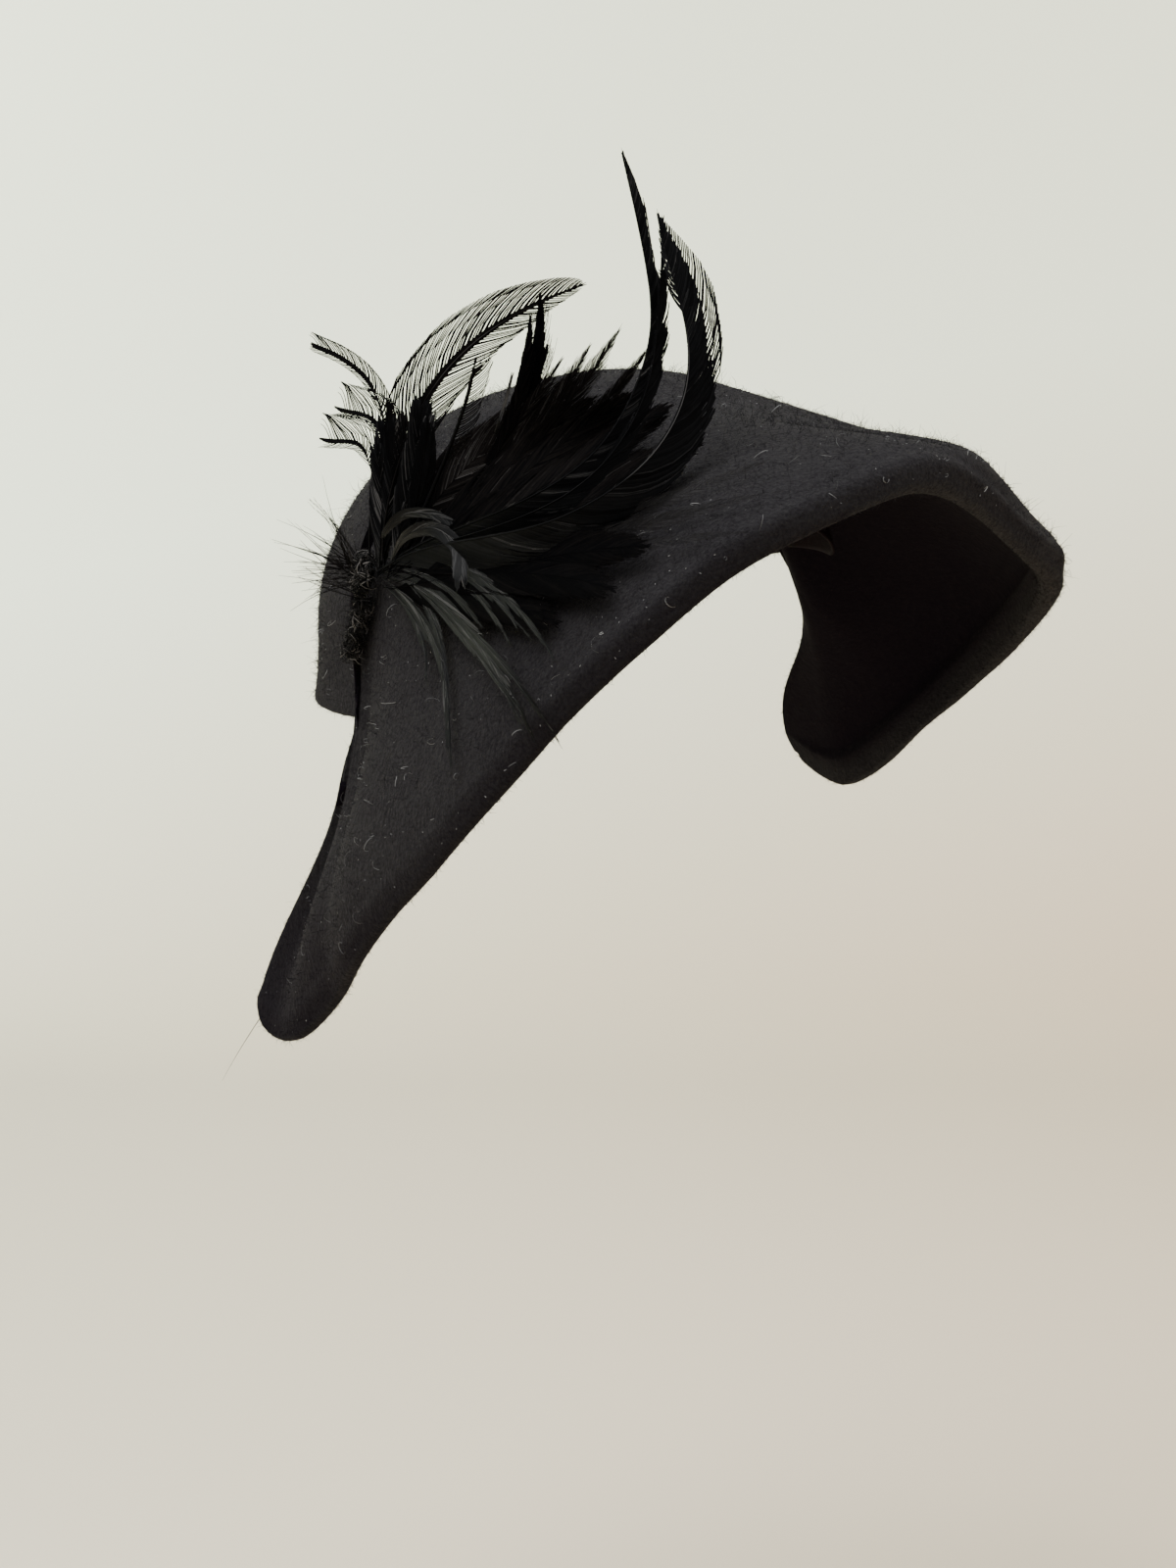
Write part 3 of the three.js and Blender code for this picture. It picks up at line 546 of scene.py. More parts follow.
triangles = np.concatenate([top_faces, top_faces[:, ::-1] + len(skin)])
quads = np.concatenate([skin_quads, skin_quads[:, ::-1] + len(skin), nose_quads])
hood_faces = np.concatenate([quads[:, [0, 1, 2]], quads[:, [0, 2, 3]], triangles])
print("hood", len(hood_points), "points, felt", FELT["wall"], "mm")

# %% [markdown]
# ## Shader sums as plain sums
#
# A finish is a small sum: a noise times a depth, plus another. In the node editor each
# plus and times is a box to place and wire. Here a small class wraps one socket and lets
# Python's own signs add those boxes, so a finish reads like its formula.

# %% The socket wrapper
class Paint:
    """One output socket of a material's nodes, on which sums can be written."""

    def __init__(self, tree, socket=None):
        self.tree = tree
        self.socket = socket

    def add(self, kind, settings, sockets, output=0):
        """Adds a node: its settings first, then the values or links of its sockets."""
        node = self.tree.nodes.new(kind)
        for key, value in settings.items():
            if key == "stops":
                self.set_stops(node.color_ramp, value)
            else:
                setattr(node, key, value)
        for key, value in sockets.items():
            if isinstance(value, Paint):
                self.tree.links.new(value.socket, node.inputs[key])
            else:
                node.inputs[key].default_value = value
        return Paint(self.tree, node.outputs[output])

    @staticmethod
    def set_stops(ramp, stops):
        """Gives a ramp its stops: pairs of a place and a grey value."""
        while len(ramp.elements) < len(stops):
            ramp.elements.new(0.5)
        for element, (position, grey) in zip(ramp.elements, stops):
            element.position = position
            element.color = (grey, grey, grey, 1)

    def sum(self, operation, first, second):
        """One box of arithmetic."""
        return self.add("ShaderNodeMath", {"operation": operation}, {0: first, 1: second})

    def __add__(self, other):
        return self.sum("ADD", self, other)

    def __radd__(self, other):
        return self.sum("ADD", other, self)

    def __sub__(self, other):
        return self.sum("SUBTRACT", self, other)

    def __rsub__(self, other):
        return self.sum("SUBTRACT", other, self)

    def __mul__(self, other):
        return self.sum("MULTIPLY", self, other)

    def __rmul__(self, other):
        return self.sum("MULTIPLY", other, self)

    def here(self):
        """The place on the piece, in metres."""
        return self.add("ShaderNodeTexCoord", {}, {}, "Object")

    def carried(self, name):
        """A value that each point of the piece carries."""
        return self.add("ShaderNodeAttribute", {"attribute_name": name}, {}, "Fac")

    def noise(self, where, scale, detail=2.0, rough=0.5):
        """Soft noise at so many waves to a metre."""
        sockets = {"Vector": where, "Scale": scale, "Detail": detail, "Roughness": rough}
        return self.add("ShaderNodeTexNoise", {}, sockets)

    def ramp(self, stops):
        """The value passed through a ramp of greys."""
        return self.add("ShaderNodeValToRGB", {"stops": stops}, {"Fac": self})

    def between(self, dark, light):
        """A colour between two, by this value; each is three numbers or a colour socket."""
        first, second = (c if isinstance(c, Paint) else (*c, 1) for c in (dark, light))
        sockets = {0: self, 6: first, 7: second}
        return self.add("ShaderNodeMix", {"data_type": "RGBA"}, sockets, 2)


def new_material(name, constants):
    """A material with one Principled shader, its constants set on the shader's own sockets."""
    material = bpy.data.materials.new(name)
    material.use_nodes = True
    shader = material.node_tree.nodes["Principled BSDF"]
    for key, value in constants.items():
        shader.inputs[key].default_value = value
    return material, shader, Paint(material.node_tree)


def wire(paint, shader, links):
    """Links finished sums to the shader's sockets by name."""
    for key, value in links.items():
        paint.tree.links.new(value.socket, shader.inputs[key])


def bump(paint, height, distance, strength=1.0):
    """A bump from a height of 0 to 1 over a distance in metres."""
    sockets = {"Height": height, "Distance": distance, "Strength": strength}
    return paint.add("ShaderNodeBump", {}, sockets)


# %% [markdown]
# ## Felt
#
# Wool felt has no weave. Close to, it is a mat of short fibres that lie every way, with a
# dull bloom where light grazes it. Colour comes from three noises: broad patches where the
# nap is worn, a fine salt of fibre ends, and a stretched one for fibres that lie along
# the cloth. The fine ones, with one more for crumbs, also roughen the surface. Each point's
# tint paints light and shade into the colour: painted shade inside the hood, less of it in
# the far lip, painted shade along the near edge and low on the near flap, and painted light
# up the crown and on the cut edges.

# %% The felt's finish
FELT_DARK = (0.0016, 0.0005, 0.0022)
FELT_LIGHT = (0.0250, 0.0245, 0.0252)


def felt_material():
    """Dull black: a sum of noises times the tint, which carries painted light and shade, picks between
    its dark and its light.
    """
    constants = {
        "Sheen Weight": 0.03,
        "Sheen Roughness": 0.45,
        "Sheen Tint": (0.80, 0.74, 0.74, 1),
        "Specular IOR Level": 0.02,
    }
    material, shader, paint = new_material("wool_felt", constants)
    where = paint.here()
    stretched = paint.add("ShaderNodeMapping", {}, {"Vector": where, "Scale": (0.32, 0.32, 1.0)})
    side = paint.carried("tint")
    patches = paint.noise(where, 26.0, 3.0)
    salt = paint.noise(where, 1100.0, 4.0, 0.75)
    fibres = paint.noise(stretched, 1000.0, 4.0, 0.65)
    crumbs = paint.noise(where, 560.0, 3.0)
    shade = patches * 0.25 + salt * 1.1 + fibres * 0.25 - 0.37
    height = (salt * 0.5 + fibres * 0.12 + crumbs * 0.7) * side
    wire(paint, shader, {
        "Base Color": (shade * side).between(FELT_DARK, FELT_LIGHT),
        "Roughness": 0.80 + patches * 0.15,
        "Normal": bump(paint, height, 0.0012, 1.0),
    })
    return material


FELT_FINISH = felt_material()
# Painted shading of the hood: how dark the inside is painted, how light the far lip inside and the cut
# edges, and how much painted shade and painted light the outer skin takes
PAINTED_TINTS = {"inside": 0.20, "lip": 0.90, "cut_edge": 1.5}
PAINTED_SHADES = {"near_edge": 0.32, "low_flap": 0.55, "flap_tip": 0.5, "rubbed": 0.15}
# From where to where each of them sets in: rows of the table, or mm from the edge or down
RUNS = {
    "far_side": (9.0, 13.0), "near_edge": (1.0, 8.0), "lip": (1.0, 12.0),
    "low_flap": (30, 65), "flap_tip": (85, 105), "rubbed": (10, 60),
}
NEAR_ROWS = 12
hood_painted_shading = np.ones(len(hood_points))
far_side = smooth_step(skin_place, *RUNS["far_side"])
# Painted shade along the near edge, where the outer skin curves under
under = (1 - smooth_step(to_edge, *RUNS["near_edge"])) * (1 - far_side)
drop = -skin[:, 2]
# Painted shade low on the near flap, with less of it at the flap's tip
flap_tip = PAINTED_SHADES["flap_tip"] * smooth_step(drop, *RUNS["flap_tip"])
low_flap = smooth_step(drop, *RUNS["low_flap"]) * (1 - flap_tip) * (1 - far_side)
# Painted light: the felt is painted lighter up the crown, where the top light falls
rubbed = smooth_step(skin[:, 2], *RUNS["rubbed"])
hood_painted_shading[:len(skin)] = (1 - PAINTED_SHADES["near_edge"] * under) * (
    1 - PAINTED_SHADES["low_flap"] * low_flap + PAINTED_SHADES["rubbed"] * rubbed
)
# Painted shade over the inner skin, lifted near the far lip, where light reaches the inside
lip = (1 - smooth_step(to_edge, *RUNS["lip"])) * far_side
hood_painted_shading[len(skin):2 * len(skin)] = PAINTED_TINTS["inside"] + (PAINTED_TINTS["lip"] - PAINTED_TINTS["inside"]) * lip
# The hem's cut edge on the near side takes the same painted shade
hem_edge_ids = np.isin(edge_ids, brim_ids[:, -1]) & (skin_place[edge_ids] < NEAR_ROWS)
# The other cut edges are painted lighter, a painted highlight
nose_tint = np.where(hem_edge_ids, 1 - PAINTED_SHADES["near_edge"], PAINTED_TINTS["cut_edge"])
hood_painted_shading[2 * len(skin):] = np.repeat(nose_tint, NOSE_RINGS)
new_piece(
    "moulded_hood",
    [{"points": hood_points, "faces": hood_faces, "tint": hood_painted_shading}],
    FELT_FINISH,
    replaces=("felt_hood",),
)

# %% [markdown]
# ## The ribbed band
#
# Inside the opening runs a ribbon about 20 mm wide. It is grosgrain: a fat weft makes a rib
# across it every millimetre or so, from edge to edge, with a thin woven border. Ribs could
# be bump alone, but the band's cut edge shows them too, so here they are real: the band is
# a closed ring, and its distance from the crown carries a sine for each rib.

# %% The band's path
BAND = {"low": 3, "tall": 20, "thick": 0.9, "stand_off": 0.65}
BAND_RISE = {"high": 21, "az": 8, "half": 52}
BAND_UPRIGHT = {"from": 0.3, "full": 0.75}
RIBS = 390
RIB_DEEP = 0.13
RIB_COLUMNS = 6


def crown_normal(az, up):
    """The dome's outward direction: round it crossed with down it."""
    probe = 0.4
    around = crown_point(az + 0.01, up) - crown_point(az - 0.01, up)
    fall = crown_point(az, up - probe) - crown_point(az, up + probe)
    normal = unit(np.cross(around, fall))
    sign = np.sign((normal * crown_point(az, up)).sum(-1, keepdims=True))
    return normal * sign


def band_low(az):
    """The lower edge: low all round, and lifted in a cosine bell in front."""
    off = np.clip((np.degrees(az) - BAND_RISE["az"]) / BAND_RISE["half"], -1, 1)
    return BAND["low"] + BAND_RISE["high"] * (1 + np.cos(np.pi * off)) / 2


def band_point(az, up, inward):
    """Against the crown at the back, and upright in front, where the brim has left it."""
    foot = BAND["low"] * 2 + 0 * up
    point = crown_point(az, up) - crown_normal(az, up) * inward[..., None]
    low = crown_point(az, foot) - crown_normal(az, foot) * inward[..., None]
    upright = smooth_step(np.cos(az), BAND_UPRIGHT["from"], BAND_UPRIGHT["full"])
    spread = np.hypot(low[..., 0], low[..., 1]) / np.hypot(point[..., 0], point[..., 1])
    widen = (1 + (spread - 1) * upright)[..., None]
    return point * np.concatenate([widen, widen, 1 + 0 * widen], -1)


# %% The band's ribs
band_az = np.linspace(-np.pi, np.pi, RIBS * RIB_COLUMNS, endpoint=False)
edge_shares = np.array([0.0, 0.04, 0.09, 0.3, 0.5, 0.7, 0.91, 0.96, 1.0])
band_share = np.concatenate([edge_shares, edge_shares[::-1]])
outside = np.repeat([1.0, 0.0], len(edge_shares))
rib = 0.5 - 0.5 * np.cos(2 * np.pi * np.arange(len(band_az)) / RIB_COLUMNS)
woven = np.tile(np.where((edge_shares > 0.05) & (edge_shares < 0.95), 1.0, 0.25), 2)
depth = BAND["stand_off"] + FELT["wall"] + BAND["thick"] * (1 - outside)
ribbed = depth + (2 * outside - 1) * RIB_DEEP * (1 - rib[:, None] * woven)
band_up = band_low(band_az)[:, None] + BAND["tall"] * band_share
band_net = band_point(band_az[:, None] + 0 * band_up, band_up, ribbed)
band_ids = np.arange(band_net[..., 0].size).reshape(band_net.shape[:2])
band_part = {
    "points": band_net,
    "faces": grid_faces(band_ids, around=True, across=True),
    # The rib's shape again as tint: painted light on each crest, painted shade in each valley
    "tint": np.repeat(rib, len(band_share)),
}
print("band of", RIBS, "ribs")


# %% The ribbon's finish
RIBBON_DARK = (0.0022, 0.0010, 0.0016)
RIBBON_LIGHT = (0.0080, 0.0044, 0.0060)


def ribbon_material():
    """Each rib's crest is painted lighter and its valley darker, painted light and shade, and broad
    noise wears both.
    """
    material, shader, paint = new_material("grosgrain_ribbon", {"Specular IOR Level": 0.01})
    where = paint.here()
    rib_painted_shading = paint.carried("tint")
    wear = paint.noise(where, 60.0, 3.0)
    weft = paint.noise(where, 2600.0, 2.0)
    shade = rib_painted_shading * 0.6 + wear * 0.5 - 0.2
    wire(paint, shader, {
        "Base Color": shade.between(RIBBON_DARK, RIBBON_LIGHT),
        "Roughness": 0.62 + wear * 0.2,
        "Normal": bump(paint, weft, 0.00008, 0.6),
    })
    return material


new_piece("ribbed_band", [band_part], ribbon_material(), replaces=("head_band",))

# %% [markdown]
# ## The board that the feathers are laid out on
#
# Feathers are laid out flat before they are tied, and that is how they are placed here:
# on a board through the hat's middle, square to the view, in millimetres to the right
# and up. Each is then brought forward until it rests on the felt. To know how far, rays are
# cast once over the whole board and their hits kept as a map, which arrays can look up.

# %% The board and the felt's depth over it
BOARD = {"eye": VIEW["away"], "eye_x": 2.3, "eye_y": -46.4}
MAP = {"left": -125.0, "right": 75.0, "low": -75.0, "top": 150.0, "step": 1.25}
NO_FELT = -400.0
RAY_START = 400.0


def to_hat(vector):
    """A direction of the view, turned back by the roll into the hat's upright frame."""
    x, y, z = vector
    return np.array([
        x * np.cos(ROLL) + z * np.sin(ROLL),
        y,
        z * np.cos(ROLL) - x * np.sin(ROLL),
    ])


BOARD_RIGHT, BOARD_UP, BOARD_NEAR = (
    to_hat(axis) for axis in (picture_right, picture_up, toward_eye)
)


def on_board(x, y, depth):
    """A board place brought forward along its line of sight, so that it looks the same."""
    share = depth / BOARD["eye"]
    right = x + (BOARD["eye_x"] - x) * share
    up = y + (BOARD["eye_y"] - y) * share
    return right[..., None] * BOARD_RIGHT + up[..., None] * BOARD_UP + depth[..., None] * BOARD_NEAR


def cast_depth_map():
    """Casts one ray at the felt's outer skin for each crossing of the map's grid."""
    tree = BVHTree.FromPolygons(skin.tolist(), skin_quads.tolist())
    xs = np.arange(MAP["left"], MAP["right"], MAP["step"])
    ys = np.arange(MAP["low"], MAP["top"], MAP["step"])
    grid_x, grid_y = np.meshgrid(xs, ys)
    starts = on_board(grid_x, grid_y, np.full(grid_x.shape, RAY_START)).reshape(-1, 3)
    ends = on_board(grid_x, grid_y, np.zeros(grid_x.shape)).reshape(-1, 3)
    rays = unit(ends - starts)
    hits = [tree.ray_cast(Vector(a), Vector(b))[0] for a, b in zip(starts, rays)]
    depths = [NO_FELT if hit is None else float(np.dot(hit, BOARD_NEAR)) for hit in hits]
    return np.array(depths).reshape(grid_x.shape)


DEPTH_MAP = cast_depth_map()
print("depth map", DEPTH_MAP.shape, "hits", int((DEPTH_MAP > NO_FELT).sum()))


def felt_depth(x, y):
    """The map between its crossings: each of four neighbours weighted by its nearness."""
    column = np.clip((x - MAP["left"]) / MAP["step"], 0, DEPTH_MAP.shape[1] - 1.001)
    row = np.clip((y - MAP["low"]) / MAP["step"], 0, DEPTH_MAP.shape[0] - 1.001)
    i, j = row.astype(int), column.astype(int)
    u, v = row - i, column - j
    corners = np.stack([
        DEPTH_MAP[i, j], DEPTH_MAP[i, j + 1], DEPTH_MAP[i + 1, j], DEPTH_MAP[i + 1, j + 1],
    ])
    weights = np.stack([(1 - u) * (1 - v), (1 - u) * v, u * (1 - v), u * v])
    weights = weights * (corners > NO_FELT)
    total = weights.sum(0)
    return np.where(total > 0.3, (corners * weights).sum(0) / np.maximum(total, 1e-6), NO_FELT)


# %% [markdown]
# ## The table of feathers
#
# x, y is where a feather springs from the knot, then its length and width, its headings at
# even steps from root to tip (0 is right, 90 is up), and how far its tip stands in front of
# its root. The last columns name its kind and how many lie together.

# %% Feathers
FEATHER_COLUMNS = ("name", "x", "y", "long", "wide", "headings", "lean", "kind", "copies")
FEATHERS = [
    ("sickle left", -59.7, 16.6, 167, 10.5, (38, 23, 24, 35, 57, 74, 96, 102, 103), 30, "sickle", 1),
    ("sickle right", -59.7, 16.0, 165, 9, (36, 12, 12, 26, 41, 65, 93, 107, 99), 34, "open_sickle", 1),
    ("sickle inner", -59.7, 16.3, 151, 6, (39, 18, 19, 29, 48, 66, 83, 87, 90), 32, "thin_sickle", 1),
    ("column left", -60, 15, 43, 8, (88, 87, 86, 88), 5, "column", 3),
    ("column middle", -59, 15, 46, 8, (80, 82, 84, 86), 7, "column", 3),
    ("column right", -58, 15, 51, 8, (74, 77, 80, 84), 9, "column", 2),
    ("arched hackle", -58.3, 18.6, 108, 10, (89, 76, 65, 46, 29, 20), 12, "hackle", 1),
    ("curl high", -59.5, 16.1, 78, 4, (87, 89, 84, 99, 137, 162), 2, "curl", 1),
    ("curl middle", -60, 16.1, 55, 4, (90, 91, 85, 87, 134, 185), 0, "fan_curl", 1),
    ("curl low", -60.5, 16.1, 47, 4, (93, 92, 85, 95, 142, 205), -2, "fan_curl", 1),
    ("thin spine", -54, 20, 65, 2.4, (66, 67, 70, 80), 20, "spine", 1),
    ("crown fluff", -56, 17, 76, 12, (60, 50, 38, 30), 14, "fluff", 3),
    ("point high", -55, 18, 97, 7, (37, 48, 72, 92), 14, "point", 1),
    ("point middle", -55, 18, 86, 6, (42, 51, 72, 88), 15, "point", 1),
    ("point short", -55, 18, 80, 6, (40, 47, 60, 70), 16, "point", 1),
    ("fan first", -55, 17, 80, 12, (44, 43, 42, 34), 22, "fan", 3),
    ("fan second", -55, 16, 88, 13, (35, 38, 38, 30), 24, "fan", 3),
    ("fan third", -55, 15, 98, 14, (26, 31, 34, 28), 26, "fan", 3),
    ("fan fourth", -55, 15, 98, 14, (18, 24, 28, 22), 26, "fan", 3),
    ("soft tip", -55, 16, 97, 11, (36, 42, 50, 58), 20, "soft", 2),
    ("soft tip behind", -55, 17, 82, 7, (44, 50, 54, 56), 18, "soft", 2),
    ("soft tip right", -55, 16, 100, 8, (30, 38, 47, 54), 22, "soft", 2),
    ("fan low", -55, 15, 92, 12, (14, 18, 24, 22), 26, "fan", 2),
    ("lobe far", -55, 14, 76, 13, (10, 12, 10, 0), 30, "lobe", 3),
    ("lobe middle", -55, 14, 64, 14, (2, 0, -6, -18), 30, "lobe", 3),
    ("lobe near", -55, 13, 52, 14, (-4, -8, -15, -26), 28, "lobe", 3),
    ("turned tip", -58.7, 19.5, 37, 6, (83, 49, 12, -34, -76, -96), 8, "turned", 1),
    ("turned over", -58.7, 19.5, 29, 4, (79, 60, 20, -14, -30), 6, "turned", 1),
    ("drop longest", -58.7, 17.8, 74, 3.4, (-5, -36, -48, -52, -58), 34, "drop", 5),
    ("drop second", -58.3, 18.2, 60, 3.2, (8, -11, -35, -50, -60), 28, "drop", 5),
    ("drop third", -58.7, 17.0, 40, 3, (-8, -26, -48, -60), 24, "drop", 4),
    ("drop fourth", -58.7, 16.1, 36, 3, (-36, -52, -69, -82), 20, "drop", 4),
    ("drop steep", -58.7, 15.5, 66, 2.4, (-26, -58, -80, -87, -86), 22, "drop", 3),
    ("wisp over the brim", -55, 15, 118, 4, (12, 16, 20, 22), 30, "wisp", 2),
    ("wisp under it", -55, 15, 108, 4, (8, 12, 16, 14), 30, "wisp", 2),
    ("spike up", -63, 17, 24, 3, (120, 126, 132, 140), 0, "spike", 3),
    ("spike level", -64, 12, 20, 3, (160, 158, 150, 146), 0, "spike", 3),
    # Two pale strips: their tint is a painted glint
    ("bright strip", -57, 27, 20, 1.3, (60, 72, 70, 78), 6, "strip", 1),
    ("turned strip", -23, 55, 20, 1.3, (70, 72, 74, 78), 6, "strip", 1),
    ("column tip", -57, 20, 46, 5, (70, 75, 81, 88), 10, "cap", 2),
]

# %% [markdown]
# ## Kinds of feather
#
# A blade is made of sets of barbs. A set says on which side of the shaft it stands (1 is
# left of the way the feather grows), how far it reaches as a share of half the width, from
# where to where along the feather, the gap between barbs and how far they lean forward,
# how wide each is, how they cling into tufts, how loose the end is and how ragged the edge.
# A row for side 0 stands for two like sets, the one on the right first.

